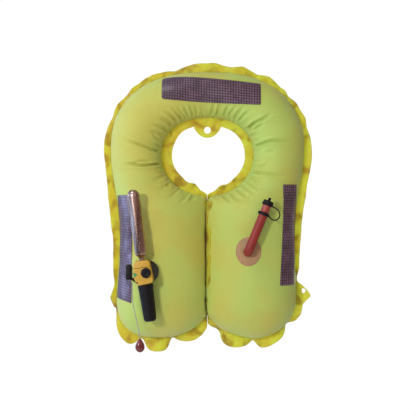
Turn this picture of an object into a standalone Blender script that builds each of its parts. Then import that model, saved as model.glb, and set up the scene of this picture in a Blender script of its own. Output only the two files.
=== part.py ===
"""Inflated life jacket bladder with its gas inflator and oral tube.

Metres, +Z up, front towards -Y. The origin is the centre of the eyelet hole above the neck opening.
The chamber is two welded sheets: every section across the horseshoe is half an ellipse.
"""

import math

import bmesh
import bpy
from mathutils import Vector
from mathutils.bvhtree import BVHTree

MM = 0.001
GAP = 0.3 * MM

# Chamber outline, on the +X side; the -X side is its mirror image.
LOBE_TIP = (110 * MM, -477 * MM)
INNER_CAP_Z = -408 * MM
OUTER_CAP_Z = -385 * MM
LOBE_OUTER_X = 204 * MM
WAIST_X = 200 * MM
WAIST_Z = -235 * MM
SHOULDER_X = 222 * MM
SHOULDER_Z = -47 * MM
TOP_Z = 133 * MM
TOP_POWER = 2.4
SLIT_HALF = 2.0 * MM
NECK_Z = -60 * MM
NECK_HALF_WIDTH = 106 * MM
NECK_RISE = 88.5 * MM
NECK_DROP = 91.5 * MM
NECK_POWER = 2.25
LOBE_CROWN = 0.69
NECK_CROWN = 0.88

# Stations along the horseshoe, from a lobe's tip (0) to the top centre (1).
CAP_END = 0.15
CUSP = 0.42
SHOULDER = 0.66
NECK_STEPS = 18

# Weld flanges.
SHEET = 1.2 * MM
TOP_FLANGE = 21 * MM
SIDE_FLANGE = 17 * MM
LOW_FLANGE = 10 * MM
CORNER_DIP = 7 * MM
BOTTOM_FLANGE = 29 * MM
NECK_FLANGE = 20.5 * MM
CUSP_FLANGE = 6 * MM
SLIT_FLANGE = 18 * MM
EYELET_R = 7.75 * MM
NECK_TAB_HALF = 31 * MM
NECK_TAB_DEPTH = 25.5 * MM
SIDE_TAB_X = 206 * MM
RIGHT_TAB_Z = -366 * MM
LEFT_TAB_Z = -369 * MM
LEFT_TAB_TURN = math.radians(-55)
TAB_HOLE_R = 7 * MM
TAB_HOLE = Vector((19 * MM, 0, -5 * MM))

# Pieces laid on the chamber.
TAPE = 0.6 * MM
TAPE_LIFT = 1.6 * MM
TAPE_ACROSS = 8
TOP_TAPE_UPPER = (Vector((-102 * MM, 112 * MM)), Vector((121 * MM, 101 * MM)))
TOP_TAPE_LOWER = (Vector((-102 * MM, 67 * MM)), Vector((121 * MM, 54 * MM)))
TOP_TAPE_BOW = 7 * MM
LEFT_TAPE_SPAN = (-383 * MM, -150 * MM)
RIGHT_TAPE_SPAN = (-356 * MM, -127 * MM)
PATCH_HALF_WIDTH = 28.5 * MM
PATCH_HALF_HEIGHT = 32.5 * MM
PATCH_THICK = 1.0 * MM

# Inflator frame: its z axis runs up the cylinder, which leans to -X.
INFLATOR = Vector((-140 * MM, -94 * MM, -320.5 * MM))
INFLATOR_LEAN = math.radians(-7.8)
BODY_FRONT = 20 * MM
BODY_BACK = -20 * MM
BODY_SPLIT = 11.5 * MM
BODY_OUTLINE = [(-19.5, 21.8), (-16, 26), (12, 26), (15.5, 23.5), (17, 11), (19.3, -19), (16.5, -24), (-12, -26.5),
                (-18.5, -21), (-23.2, -4)]
NUT = Vector((6 * MM, 0, -0.7 * MM))
MANIFOLD_BACK = 24.6 * MM
PLUG = Vector((-16.6 * MM, 0, -20 * MM))
INDICATOR = Vector((-17.2 * MM, -2.2 * MM))
INDICATOR_REACH = 5.2 * MM
INDICATOR_SEAT = 18.4 * MM
LEVER_PIVOT = Vector((-14.8 * MM, 0, -17.6 * MM))
LEVER_THICK = 8 * MM
GRIP_CENTRE = (-17.5, 21.9)
GRIP_HALF = (6.4, 15.8)
FAR = 60 * MM

# Oral tube frame: its z axis runs up the tube, which leans to +X.
ORAL = Vector((90 * MM, -88 * MM, -277 * MM))
ORAL_LEAN = math.radians(22)
ORAL_R = 10.5 * MM
ORAL_BORE = 7.5 * MM
ORAL_BEND = 12 * MM
ORAL_END = 96 * MM

CORD_R = 1.0 * MM
CORD_ROUTE = [
    (-165.4, -94, -343.7), (-165.3, -94, -357), (-165.1, -94, -373), (-164.1, -94, -389), (-161, -94, -405),
    (-157.3, -94, -421), (-153.6, -94, -437), (-150.6, -94, -453), (-148.6, -94, -466.7),
]
TOGGLE = Vector((-148.4 * MM, -94 * MM, -482 * MM))


# ---------------------------------------------------------------- helpers


def clear_scene():
    for item in list(bpy.data.objects):
        bpy.data.objects.remove(item, do_unlink=True)


def material(name, colour, roughness, metallic=0.0):
    found = bpy.data.materials.get(name)
    if found:
        return found
    made = bpy.data.materials.new(name)
    made.use_nodes = True
    shader = made.node_tree.nodes["Principled BSDF"]
    shader.inputs["Base Color"].default_value = (*colour, 1.0)
    shader.inputs["Roughness"].default_value = roughness
    shader.inputs["Metallic"].default_value = metallic
    return made


def colours():
    return {
        "panel": material("coated_fabric", (0.55, 0.66, 0.10), 0.55),
        "flange": material("weld_flange", (0.68, 0.72, 0.06), 0.5),
        "tape": material("reflective_tape", (0.16, 0.11, 0.18), 0.3),
        "black": material("black_plastic", (0.02, 0.02, 0.02), 0.45),
        "rubber": material("black_rubber", (0.03, 0.03, 0.03), 0.7),
        "yellow": material("yellow_plastic", (0.85, 0.42, 0.04), 0.4),
        "green": material("green_plastic", (0.02, 0.35, 0.12), 0.4),
        "red": material("red_plastic", (0.45, 0.03, 0.02), 0.35),
        "red_tube": material("red_tube", (0.50, 0.04, 0.02), 0.45),
        "tan": material("tan_film", (0.62, 0.36, 0.18), 0.5),
        "steel": material("plated_steel", (0.55, 0.36, 0.28), 0.22, 1.0),
        "brass": material("brass", (0.70, 0.50, 0.20), 0.3, 1.0),
        "white": material("white_tablet", (0.85, 0.85, 0.82), 0.7),
        "cord": material("grey_cord", (0.55, 0.55, 0.52), 0.8),
    }


def finish(name, bm, look, parent=None, location=(0, 0, 0), rotation=(0, 0, 0), smooth=None):
    """Turn a bmesh into the named object, with its faces pointing out."""
    bmesh.ops.recalc_face_normals(bm, faces=bm.faces)
    mesh = bpy.data.meshes.new(name)
    bm.to_mesh(mesh)
    bm.free()
    mesh.materials.append(look)
    if smooth is not None:
        mesh.shade_smooth()
        mesh.set_sharp_from_angle(angle=math.radians(smooth))
    made = bpy.data.objects.new(name, mesh)
    made.location = location
    made.rotation_euler = rotation
    made.parent = parent
    bpy.context.collection.objects.link(made)
    return made


def empty(name, location, rotation=(0, 0, 0), parent=None):
    made = bpy.data.objects.new(name, None)
    made.location = location
    made.rotation_euler = rotation
    made.parent = parent
    bpy.context.collection.objects.link(made)
    return made


def turned(profile, segments=24):
    """Bmesh of a profile of (radius, z) points turned about Z; the profile is a closed loop."""
    bm = bmesh.new()
    columns = []
    for radius, z in profile:
        if radius == 0:
            columns.append([bm.verts.new((0, 0, z))] * segments)
            continue
        angles = [2 * math.pi * i / segments for i in range(segments)]
        columns.append([bm.verts.new((radius * math.cos(a), radius * math.sin(a), z)) for a in angles])
    for here, there in zip(columns, columns[1:] + columns[:1]):
        for i in range(segments):
            k = (i + 1) % segments
            corners = []
            for vert in (here[i], here[k], there[k], there[i]):
                if vert not in corners:
                    corners.append(vert)
            if len(corners) > 2:
                bm.faces.new(corners)
    return bm


def block(low, high):
    """Bmesh of a box between two corners."""
    bm = bmesh.new()
    bmesh.ops.create_cube(bm, size=1.0)
    size = Vector(high) - Vector(low)
    bmesh.ops.scale(bm, vec=size, verts=bm.verts)
    bmesh.ops.translate(bm, vec=(Vector(high) + Vector(low)) / 2, verts=bm.verts)
    return bm


def plate(outline, low_y, high_y):
    """Bmesh of an (x, z) outline extruded along Y."""
    bm = bmesh.new()
    base = bm.faces.new([bm.verts.new((x, low_y, z)) for x, z in outline])
    made = bmesh.ops.extrude_face_region(bm, geom=[base])
    moved = [item for item in made["geom"] if isinstance(item, bmesh.types.BMVert)]
    bmesh.ops.translate(bm, vec=(0, high_y - low_y, 0), verts=moved)
    return bm


def rounded(corners, radius, steps=3):
    """Outline of (x, z) corners with each corner rounded."""
    made = []
    count = len(corners)
    for i, corner in enumerate(corners):
        here = Vector(corner)
        before = (Vector(corners[i - 1]) - here).normalized() * radius
        after = (Vector(corners[(i + 1) % count]) - here).normalized() * radius
        for k in range(steps + 1):
            t = k / steps
            point = (1 - t) ** 2 * (here + before) + 2 * t * (1 - t) * here + t * t * (here + after)
            made.append((point.x, point.y))
    return made


def swept(path, section):
    """Bmesh of a list of section offsets (across, up) carried along a path of points."""
    bm = bmesh.new()
    rings = []
    up = Vector((0, 1, 0))
    for i, point in enumerate(path):
        ahead = path[min(i + 1, len(path) - 1)]
        behind = path[max(i - 1, 0)]
        along = (ahead - behind).normalized()
        across = along.cross(up).normalized()
        up = across.cross(along).normalized()
        rings.append([bm.verts.new(point + across * a + up * b) for a, b in section])
    size = len(section)
    for here, there in zip(rings, rings[1:]):
        for i in range(size):
            k = (i + 1) % size
            bm.faces.new((here[i], here[k], there[k], there[i]))
    bm.faces.new(rings[0])
    bm.faces.new(rings[-1])
    return bm


def circle(radius, segments):
    angles = [2 * math.pi * i / segments for i in range(segments)]
    return [(radius * math.cos(a), radius * math.sin(a)) for a in angles]


def spring(name, radius, wire, low, high, turns, look, parent, location=(0, 0, 0)):
    """Helical spring between two heights of its parent's frame."""
    per_turn = 10
    count = int(turns * per_turn)
    path = []
    for i in range(count + 1):
        angle = 2 * math.pi * i / per_turn
        z = low + wire + (high - low - 2 * wire) * i / count
        path.append(Vector((radius * math.cos(angle), radius * math.sin(angle), z)))
    bm = bmesh.new()
    rings = []
    for i, point in enumerate(path):
        out = Vector((point.x, point.y, 0)).normalized()
        ring = [out * a + Vector((0, 0, b)) for a, b in circle(wire, 6)]
        rings.append([bm.verts.new(point + offset) for offset in ring])
    for here, there in zip(rings, rings[1:]):
        for i in range(6):
            k = (i + 1) % 6
            bm.faces.new((here[i], here[k], there[k], there[i]))
    bm.faces.new(rings[0])
    bm.faces.new(rings[-1])
    return finish(name, bm, look, parent, location, smooth=50)


def cutter(name, bm, parent=None, location=(0, 0, 0), rotation=(0, 0, 0)):
    """A shape that only cuts others."""
    bmesh.ops.recalc_face_normals(bm, faces=bm.faces)
    mesh = bpy.data.meshes.new(name)
    bm.to_mesh(mesh)
    bm.free()
    made = bpy.data.objects.new(name, mesh)
    made.location = location
    made.rotation_euler = rotation
    made.parent = parent
    made.hide_render = True
    made.display_type = "WIRE"
    bpy.context.collection.objects.link(made)
    return made


def cut(target, tool):
    step = target.modifiers.new(tool.name, "BOOLEAN")
    step.operation = "DIFFERENCE"
    step.solver = "EXACT"
    step.object = tool


def fuse(target, other):
    step = target.modifiers.new(other.name, "BOOLEAN")
    step.operation = "UNION"
    step.solver = "EXACT"
    step.object = other


def soften(target, width, segments=2):
    step = target.modifiers.new("rounding", "BEVEL")
    step.width = width
    step.segments = segments
    step.limit_method = "ANGLE"
    step.angle_limit = math.radians(50)


# ---------------------------------------------------------------- chamber


def blend(t):
    t = max(0.0, min(1.0, t))
    return t * t * (3 - 2 * t)


def side_half_width(z):
    if z > WAIST_Z:
        return WAIST_X + (SHOULDER_X - WAIST_X) * blend((z - WAIST_Z) / (SHOULDER_Z - WAIST_Z))
    return WAIST_X + (LOBE_OUTER_X - WAIST_X) * blend((WAIST_Z - z) / (WAIST_Z - OUTER_CAP_Z))


def outer_edge(t):
    """Outer weld line at station t, on the +X side."""
    if t <= CAP_END:
        angle = t / CAP_END * math.pi / 2
        x = LOBE_TIP[0] + (LOBE_OUTER_X - LOBE_TIP[0]) * math.sin(angle)
        return Vector((x, OUTER_CAP_Z + (LOBE_TIP[1] - OUTER_CAP_Z) * math.cos(angle)))
    if t <= SHOULDER:
        z = OUTER_CAP_Z + (SHOULDER_Z - OUTER_CAP_Z) * (t - CAP_END) / (SHOULDER - CAP_END)
        return Vector((side_half_width(z), z))
    angle = (t - SHOULDER) / (1 - SHOULDER) * math.pi / 2
    power = 2 / TOP_POWER
    across = max(0.0, math.cos(angle)) ** power
    return Vector((SHOULDER_X * across, SHOULDER_Z + (TOP_Z - SHOULDER_Z) * math.sin(angle) ** power))


def inner_edge(t):
    """Inner weld line at station t, on the +X side: lobe end, slit, then round the neck."""
    if t <= CAP_END:
        angle = t / CAP_END * math.pi / 2
        x = LOBE_TIP[0] + (SLIT_HALF - LOBE_TIP[0]) * math.sin(angle)
        return Vector((x, INNER_CAP_Z + (LOBE_TIP[1] - INNER_CAP_Z) * math.cos(angle)))
    start = neck_edge(0.0)
    if t <= CUSP:
        z = INNER_CAP_Z + (start.y - INNER_CAP_Z) * (t - CAP_END) / (CUSP - CAP_END)
        return Vector((SLIT_HALF, z))
    return neck_edge((t - CUSP) / (1 - CUSP))


def neck_edge(part):
    """Neck weld line, from the slit (0) round to the top centre (1)."""
    first = -math.pi / 2 + math.asin(SLIT_HALF / NECK_HALF_WIDTH)
    angle = first + (math.pi / 2 - first) * part
    if angle < 0:
        return Vector((NECK_HALF_WIDTH * math.cos(angle), NECK_Z + NECK_DROP * math.sin(angle)))
    power = 2 / NECK_POWER
    across = max(0.0, math.cos(angle)) ** power
    return Vector((NECK_HALF_WIDTH * across, NECK_Z + NECK_RISE * math.sin(angle) ** power))


def chamber_point(t, angle, side, lift=0.0):
    """Point on the front surface; angle 0 is the outer weld and pi the inner one; side is 1 or -1."""
    outer, inner = outer_edge(t), inner_edge(t)
    middle, reach = (outer + inner) / 2, (outer - inner) / 2
    crown = LOBE_CROWN + (NECK_CROWN - LOBE_CROWN) * blend((t - 0.45) / 0.35)
    height = crown * reach.length
    across = reach * math.cos(angle)
    normal = Vector((reach.x * math.cos(angle), -math.sin(angle) * reach.length / crown, reach.y * math.cos(angle)))
    point = Vector((middle.x + across.x, -GAP / 2 - height * math.sin(angle), middle.y + across.y))
    point += normal.normalized() * lift
    return Vector((side * point.x, point.y, point.z))


def stations():
    """Stations of one half, closer together where the outline turns."""
    cap = [CAP_END * (i / 7) for i in range(1, 7)]
    slit = [CAP_END + (CUSP - CAP_END) * i / 8 for i in range(8)]
    neck = [CUSP + (1 - CUSP) * i / NECK_STEPS for i in range(NECK_STEPS)]
    return cap + slit + neck


def panel(name, sign, look):
    """One sheet, blown up: sign 1 is the front half, -1 the back half."""
    across = 10
    bm = bmesh.new()
    half = stations()
    places = [(t, -1) for t in half] + [(1.0, 1)] + [(t, 1) for t in reversed(half)]
    tips = [bm.verts.new((side * LOBE_TIP[0], -sign * GAP / 2, LOBE_TIP[1])) for side in (-1, 1)]
    rows = []
    for t, side in places:
        row = []
        for j in range(across + 1):
            point = chamber_point(t, math.pi * j / across, side)
            row.append(bm.verts.new((point.x, point.y * sign, point.z)))
        rows.append(row)
    for here, there in zip(rows, rows[1:]):
        for j in range(across):
            bm.faces.new((here[j], here[j + 1], there[j + 1], there[j]))
    for tip, row in ((tips[0], rows[0]), (tips[1], rows[-1])):
        for j in range(across):
            bm.faces.new((tip, row[j], row[j + 1]))
    rim = [tips[0]] + [row[0] for row in rows] + [tips[1]] + [row[-1] for row in reversed(rows)]
    bm.faces.new(rim)
    return finish(name, bm, look, smooth=60)


def strip(name, edges, look, cuts=()):
    """Flat border between two lists of (x, z) points, centred on the weld plane."""
    bm = bmesh.new()
    near, far = [], []
    for a, b in edges:
        near.append([bm.verts.new((p.x, -SHEET / 2, p.y)) for p in (a, b)])
        far.append([bm.verts.new((p.x, SHEET / 2, p.y)) for p in (a, b)])
    for i in range(len(edges) - 1):
        bm.faces.new((near[i][0], near[i][1], near[i + 1][1], near[i + 1][0]))
        bm.faces.new((far[i][0], far[i][1], far[i + 1][1], far[i + 1][0]))
        for k in (0, 1):
            bm.faces.new((near[i][k], near[i + 1][k], far[i + 1][k], far[i][k]))
    for i in (0, -1):
        bm.faces.new((near[i][0], near[i][1], far[i][1], far[i][0]))
    made = finish(name, bm, look)
    for tool in cuts:
        cut(made, tool)
    return made


def outward(points, i):
    """Unit normal of an open line of 2-D points, on its left hand."""
    ahead = points[min(i + 1, len(points) - 1)]
    behind = points[max(i - 1, 0)]
    along = (ahead - behind).normalized()
    return Vector((-along.y, along.x))


def outer_flange(look):
    """Border outside the chamber, from the slit's foot round one lobe, over the top and back."""
    stops = [0.0] + stations() + [1.0]
    cap = [inner_edge(t) for t in reversed(stops) if 0 < t <= CAP_END]
    widths = [BOTTOM_FLANGE] * len(cap)
    for t in stops:
        cap.append(outer_edge(t))
        if t < CAP_END:
            widths.append(BOTTOM_FLANGE + (LOW_FLANGE - BOTTOM_FLANGE) * blend(t / CAP_END * 1.6 - 0.6))
        elif t < SHOULDER:
            part = blend((t - CAP_END) / (SHOULDER - CAP_END))
            widths.append(LOW_FLANGE + (SIDE_FLANGE - LOW_FLANGE) * part)
        else:
            part = blend((t - SHOULDER) / (1 - SHOULDER))
            widths.append(SIDE_FLANGE + (TOP_FLANGE - SIDE_FLANGE) * part - CORNER_DIP * math.sin(math.pi * part))
    edges = []
    for i, point in enumerate(cap):
        out = -outward(cap, i)
        if i == len(cap) - 1:
            out = Vector((0, 1))
        width = widths[i]
        if out.x < 0:
            width = min(width, (point.x - 0.6 * MM) / -out.x)
        start = min(GAP, width / 3)
        edges.append((point + out * start, point + out * width))
    mirror = [(Vector((-a.x, a.y)), Vector((-b.x, b.y))) for a, b in reversed(edges[:-1])]
    return strip("outer_weld_flange", edges + mirror, look)


def neck_flange(look):
    """Flat ring inside the neck weld, wider at the top where it carries the eyelet."""
    corners = [neck_edge(i / NECK_STEPS) for i in range(NECK_STEPS + 1)]
    line = []
    for here, there in zip(corners, corners[1:]):
        line += [here, (here + there) / 2]
    line.append(corners[-1])
    count = len(line) - 1
    edges = []
    for i, point in enumerate(line):
        out = outward(line, i)
        if i == count:
            out = Vector((0, -1))
        width = NECK_FLANGE
        if point.y < NECK_Z:
            width = CUSP_FLANGE + (NECK_FLANGE - CUSP_FLANGE) * blend(point.x / (40 * MM))
        inner = point + out * width
        if inner.x < NECK_TAB_HALF and point.y > NECK_Z:
            inner.y -= NECK_TAB_DEPTH * (1 - (inner.x / NECK_TAB_HALF) ** 2)
        inner.x = max(inner.x, 0.5 * MM) if point.y < NECK_Z else inner.x
        edges.append((point + out * GAP, inner))
    mirror = [(Vector((-a.x, a.y)), Vector((-b.x, b.y))) for a, b in reversed(edges[:-1])]
    hole = bore("neck_eyelet_cutter", EYELET_R, -5 * MM, 5 * MM, None, (0, 0, 0), (math.pi / 2, 0, 0), 24)
    return strip("neck_weld_flange", edges + mirror, look, (hole,))


def slit_flange(name, side, look):
    """Border of one lobe in the slit, standing forward between the two lobes."""
    low, high = INNER_CAP_Z + 2 * MM, inner_edge(CUSP).y - 3 * MM
    x = sorted((side * 0.25 * MM, side * (0.25 * MM + SHEET)))
    return finish(name, block((x[0], -SLIT_FLANGE, low), (x[1], -0.5 * MM, high)), look)


def side_tab(name, side, height, turn, look):
    """Tab with an eyelet hole beside a lobe, turned about its upright root."""
    root = empty(name + "_root", (side * SIDE_TAB_X, 0, height), (0, 0, turn))
    corners = [(8.6, 26), (15, 21.5), (35, -10), (35, -18), (16, -30), (8.6, -22)]
    points = rounded([(side * x * MM, z * MM) for x, z in corners], 3 * MM)
    made = finish(name, plate(points, -SHEET / 2, SHEET / 2), look, root)
    centre = (side * TAB_HOLE.x, 0, TAB_HOLE.z)
    cut(made, bore(name + "_cutter", TAB_HOLE_R, -5 * MM, 5 * MM, root, centre, (math.pi / 2, 0, 0), 24))
    return made


# ---------------------------------------------------------------- pieces on the surface


def skin(name, rows, look):
    """Thin sheet from a grid of (near, far) points."""
    bm = bmesh.new()
    near = [[bm.verts.new(a) for a, b in row] for row in rows]
    far = [[bm.verts.new(b) for a, b in row] for row in rows]
    for grid in (near, far):
        for here, there in zip(grid, grid[1:]):
            for j in range(len(here) - 1):
                bm.faces.new((here[j], here[j + 1], there[j + 1], there[j]))
    rim = [(0, j) for j in range(len(rows[0]))]
    rim += [(i, len(rows[0]) - 1) for i in range(1, len(rows))]
    rim += [(len(rows) - 1, j) for j in range(len(rows[0]) - 2, -1, -1)]
    rim += [(i, 0) for i in range(len(rows) - 2, 0, -1)]
    for (i, j), (k, m) in zip(rim, rim[1:] + rim[:1]):
        bm.faces.new((near[i][j], near[k][m], far[k][m], far[i][j]))
    return finish(name, bm, look, smooth=60)


def station_at(z):
    """Station of the lobe whose outer weld point is at this height."""
    return CAP_END + (SHOULDER - CAP_END) * (z - OUTER_CAP_Z) / (SHOULDER_Z - OUTER_CAP_Z)


def side_tape(name, side, span, outer_insets, inner_insets, look):
    """Tape down the outer flank of a lobe; its edges' distances from the outer weld are given low and high."""
    rows = []
    for i in range(11):
        share = i / 10
        t = station_at(span[0] + (span[1] - span[0]) * share)
        reach = (outer_edge(t) - inner_edge(t)).length / 2
        first, last = [(low + (high - low) * share) * MM for low, high in (outer_insets, inner_insets)]
        row = []
        for j in range(TAPE_ACROSS + 1):
            angle = math.acos(1 - (first + (last - first) * j / TAPE_ACROSS) / reach)
            row.append((chamber_point(t, angle, side, TAPE_LIFT), chamber_point(t, angle, side, TAPE_LIFT + TAPE)))
        rows.append(row)
    return skin(name, rows, look)


def surface_finder(front):
    """Function that gives the front panel's y at a point of the weld plane."""
    points = [vert.co.copy() for vert in front.data.vertices]
    faces = [tuple(face.vertices) for face in front.data.polygons if len(face.vertices) < 5]
    tree = BVHTree.FromPolygons(points, faces)

    def find(x, z):
        hit = tree.ray_cast(Vector((x, -1.0, z)), Vector((0, 1, 0)))
        return hit[0].y if hit[0] else 0.0

    return find


def top_tape(find, look):
    """Tape across the top of the neck, tilted a little, its upper edge bowed."""
    rows = []
    for i in range(15):
        top = TOP_TAPE_UPPER[0].lerp(TOP_TAPE_UPPER[1], i / 14)
        top.y += TOP_TAPE_BOW * math.sin(math.pi * i / 14)
        low = TOP_TAPE_LOWER[0].lerp(TOP_TAPE_LOWER[1], i / 14)
        row = []
        for j in range(5):
            point = top.lerp(low, j / 4)
            y = find(point.x, point.y)
            slope = Vector(((find(point.x + MM, point.y) - y) / MM, -1, (find(point.x, point.y + MM) - y) / MM))
            slope.normalize()
            base = Vector((point.x, y, point.y))
            row.append((base + slope * 2 * TAPE_LIFT, base + slope * (2 * TAPE_LIFT + TAPE)))
        rows.append(row)
    return skin("top_reflective_tape", rows, look)


def oral_flange(find, look):
    """Weld patch round the oral tube's foot, laid on the panel."""
    centre = Vector((ORAL.x + 1.5 * MM, ORAL.z + 1 * MM))
    count = 28
    rings = []
    bm = bmesh.new()
    for part in (0.0, 0.4, 0.75, 1.0):
        ring = []
        for i in range(count):
            angle = 2 * math.pi * i / count
            inner = Vector((ORAL.x, ORAL.z)) + Vector((math.cos(angle), math.sin(angle))) * (ORAL_R + 0.5 * MM)
            outer = centre + Vector((PATCH_HALF_WIDTH * math.cos(angle), PATCH_HALF_HEIGHT * math.sin(angle)))
            point = inner.lerp(outer, part)
            y = find(point.x, point.y) - 2 * GAP
            ring.append([bm.verts.new((point.x, y, point.y)), bm.verts.new((point.x, y - PATCH_THICK, point.y))])
        rings.append(ring)
    for here, there in zip(rings, rings[1:]):
        for i in range(count):
            k = (i + 1) % count
            for layer in (0, 1):
                bm.faces.new((here[i][layer], here[k][layer], there[k][layer], there[i][layer]))
    for ring in (rings[0], rings[-1]):
        for i in range(count):
            k = (i + 1) % count
            bm.faces.new((ring[i][0], ring[k][0], ring[k][1], ring[i][1]))
    return finish("oral_tube_flange", bm, look, smooth=40)


# ---------------------------------------------------------------- oral inflator


def oral_inflator(look):
    base = empty("oral_frame", ORAL, (0, ORAL_LEAN, 0))
    path = [Vector((0, 18.6 * MM, 0))]
    for i in range(7):
        angle = i / 6 * math.pi / 2
        path.append(Vector((0, ORAL_BEND * (1 - math.sin(angle)), ORAL_BEND * (1 - math.cos(angle)))))
    path.append(Vector((0, 0, ORAL_END)))
    hollow_tube("oral_tube", path, ORAL_R, ORAL_BORE, look["red_tube"], base)

    body = [(7.2, 84), (7.2, 96.3), (9.4, 96.3), (9.4, 117), (8.6, 118), (6.0, 118), (6.0, 104), (3.4, 102.5),
            (3.4, 98), (5.4, 95), (5.4, 84)]
    finish("oral_valve_body", turned(scaled(body), 20), look["red"], base, smooth=35)
    stem = empty("poppet_axis", (0, 0, 0), parent=base)
    poppet = [(0, 90.5), (5.0, 90.5), (5.0, 92.5), (1.6, 94.0), (1.6, 112.5), (3.4, 113.5), (3.4, 115), (0, 115)]
    finish("oral_valve_poppet", turned(scaled(poppet), 16), look["black"], stem, smooth=35)
    spring("oral_valve_spring", 2.9 * MM, 0.4 * MM, 104.6 * MM, 113.1 * MM, 4, look["steel"], base)
    lid = empty("dust_cap_axis", (0, 0, 0), parent=base)
    cap = [(9.8, 111.5), (11.6, 111.5), (12.6, 113), (12.6, 116), (11.6, 117), (11.6, 121.5), (10.6, 122.8),
           (4.0, 123.2), (3.2, 124), (3.2, 129), (2.2, 130), (0, 130), (0, 119.2), (9.8, 119.2)]
    finish("dust_cap", turned(scaled(cap), 24), look["rubber"], lid, smooth=35)
    ring = [(10.8, 88.5), (12.6, 88.5), (13.0, 89.2), (13.0, 94.4), (12.6, 95.1), (10.8, 95.1)]
    finish("strap_ring", turned(scaled(ring), 24), look["rubber"], base, smooth=35)
    route = [(13.4, 113.5), (18, 112.5), (25, 109.5), (31, 103.5), (33.2, 96), (30.5, 89), (24.5, 86.5),
             (18, 88.4), (13.5, 91.2)]
    line = through([Vector((x * MM, 0, z * MM)) for x, z in route], 16)
    half_width, half_thick = 2.0 * MM, 0.9 * MM
    section = [(-half_thick, -half_width), (half_thick, -half_width), (half_thick, half_width), (-half_thick, half_width)]
    finish("cap_strap", swept(line, section), look["rubber"], base, smooth=50)


def scaled(profile):
    return [(r * MM, z * MM) for r, z in profile]


def through(points, count):
    """Points evenly spread on a smooth curve through the given ones."""
    dense = []
    last = len(points) - 1
    for i in range(last):
        a, b = points[max(i - 1, 0)], points[i]
        c, d = points[i + 1], points[min(i + 2, last)]
        for k in range(12):
            t = k / 12
            bend = 2 * b + (c - a) * t + (2 * a - 5 * b + 4 * c - d) * t * t + (3 * b - a - 3 * c + d) * t ** 3
            dense.append(bend / 2)
    dense.append(points[-1])
    lengths = [0.0]
    for a, b in zip(dense, dense[1:]):
        lengths.append(lengths[-1] + (b - a).length)
    made = []
    k = 0
    for i in range(count + 1):
        goal = lengths[-1] * i / count
        while k < len(dense) - 2 and lengths[k + 1] < goal:
            k += 1
        part = (goal - lengths[k]) / (lengths[k + 1] - lengths[k])
        made.append(dense[k].lerp(dense[k + 1], min(1.0, part)))
    return made


def hollow_tube(name, path, outer, inner, look, parent, segments=18):
    """Open-ended tube along a path that lies in its frame's YZ plane."""
    bm = bmesh.new()
    shells = []
    for radius in (outer, inner):
        rings = []
        for i, point in enumerate(path):
            ahead = path[min(i + 1, len(path) - 1)]
            behind = path[max(i - 1, 0)]
            along = (ahead - behind).normalized()
            side = Vector((1, 0, 0))
            lift = side.cross(along).normalized()
            rings.append([bm.verts.new(point + side * a + lift * b) for a, b in circle(radius, segments)])
        for here, there in zip(rings, rings[1:]):
            for i in range(segments):
                k = (i + 1) % segments
                bm.faces.new((here[i], here[k], there[k], there[i]))
        shells.append(rings)
    for end in (0, -1):
        for i in range(segments):
            k = (i + 1) % segments
            a, b = shells[0][end], shells[1][end]
            bm.faces.new((a[i], a[k], b[k], b[i]))
    return finish(name, bm, look, parent, smooth=40)


# ---------------------------------------------------------------- gas inflator


def gas_inflator(look):
    base = empty("inflator_frame", INFLATOR, (0, INFLATOR_LEAN, 0))
    manifold(base, look)
    housing(base, look)
    firing_parts(base, look)
    cylinder(base, look)
    sensing_parts(base, look)


def facing_front(name, bm, look, base, smooth=35):
    """Turned piece on the manifold's axis: its profile's z runs from the panel to the front."""
    return finish(name, bm, look, base, NUT, (math.pi / 2, 0, 0), smooth)


def manifold(base, look):
    back, front = -MANIFOLD_BACK, BODY_FRONT
    profile = []
    for radius, z in [(0, 0), (25.4, 0), (26.2, 0.8), (26.2, 2.2), (25, 3), (9, 3.2), (7.5, 3.7), (3.2, 3.7)]:
        profile.append((radius * MM, back + z * MM))
    profile += [(3.2 * MM, front + 4.6 * MM), (0, front + 4.6 * MM)]
    facing_front("manifold_flange", turned(profile, 24), look["black"], base)
    rear = [(3.6, 0), (7.2, 0), (7.2, 0.5), (3.6, 0.5)]
    lift = back + 3.95 * MM
    facing_front("manifold_rear_gasket", turned([(r * MM, lift + z * MM) for r, z in rear], 16), look["rubber"], base)
    seal = [(3.6, 0), (8.5, 0), (8.5, 0.7), (3.6, 0.7)]
    lift = front + 0.3 * MM
    facing_front("manifold_front_gasket", turned([(r * MM, lift + z * MM) for r, z in seal], 16), look["rubber"], base)
    nut = [(3.6, 0), (10.6, 0), (11.2, 0.7), (11.2, 3.6), (10, 5.2), (6.2, 5.6), (5.6, 4.9), (0, 4.9), (0, 3.9), (3.6, 3.9)]
    lift = front + 1.3 * MM
    facing_front("manifold_nut", turned([(r * MM, lift + z * MM) for r, z in nut], 24), look["black"], base)


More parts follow.
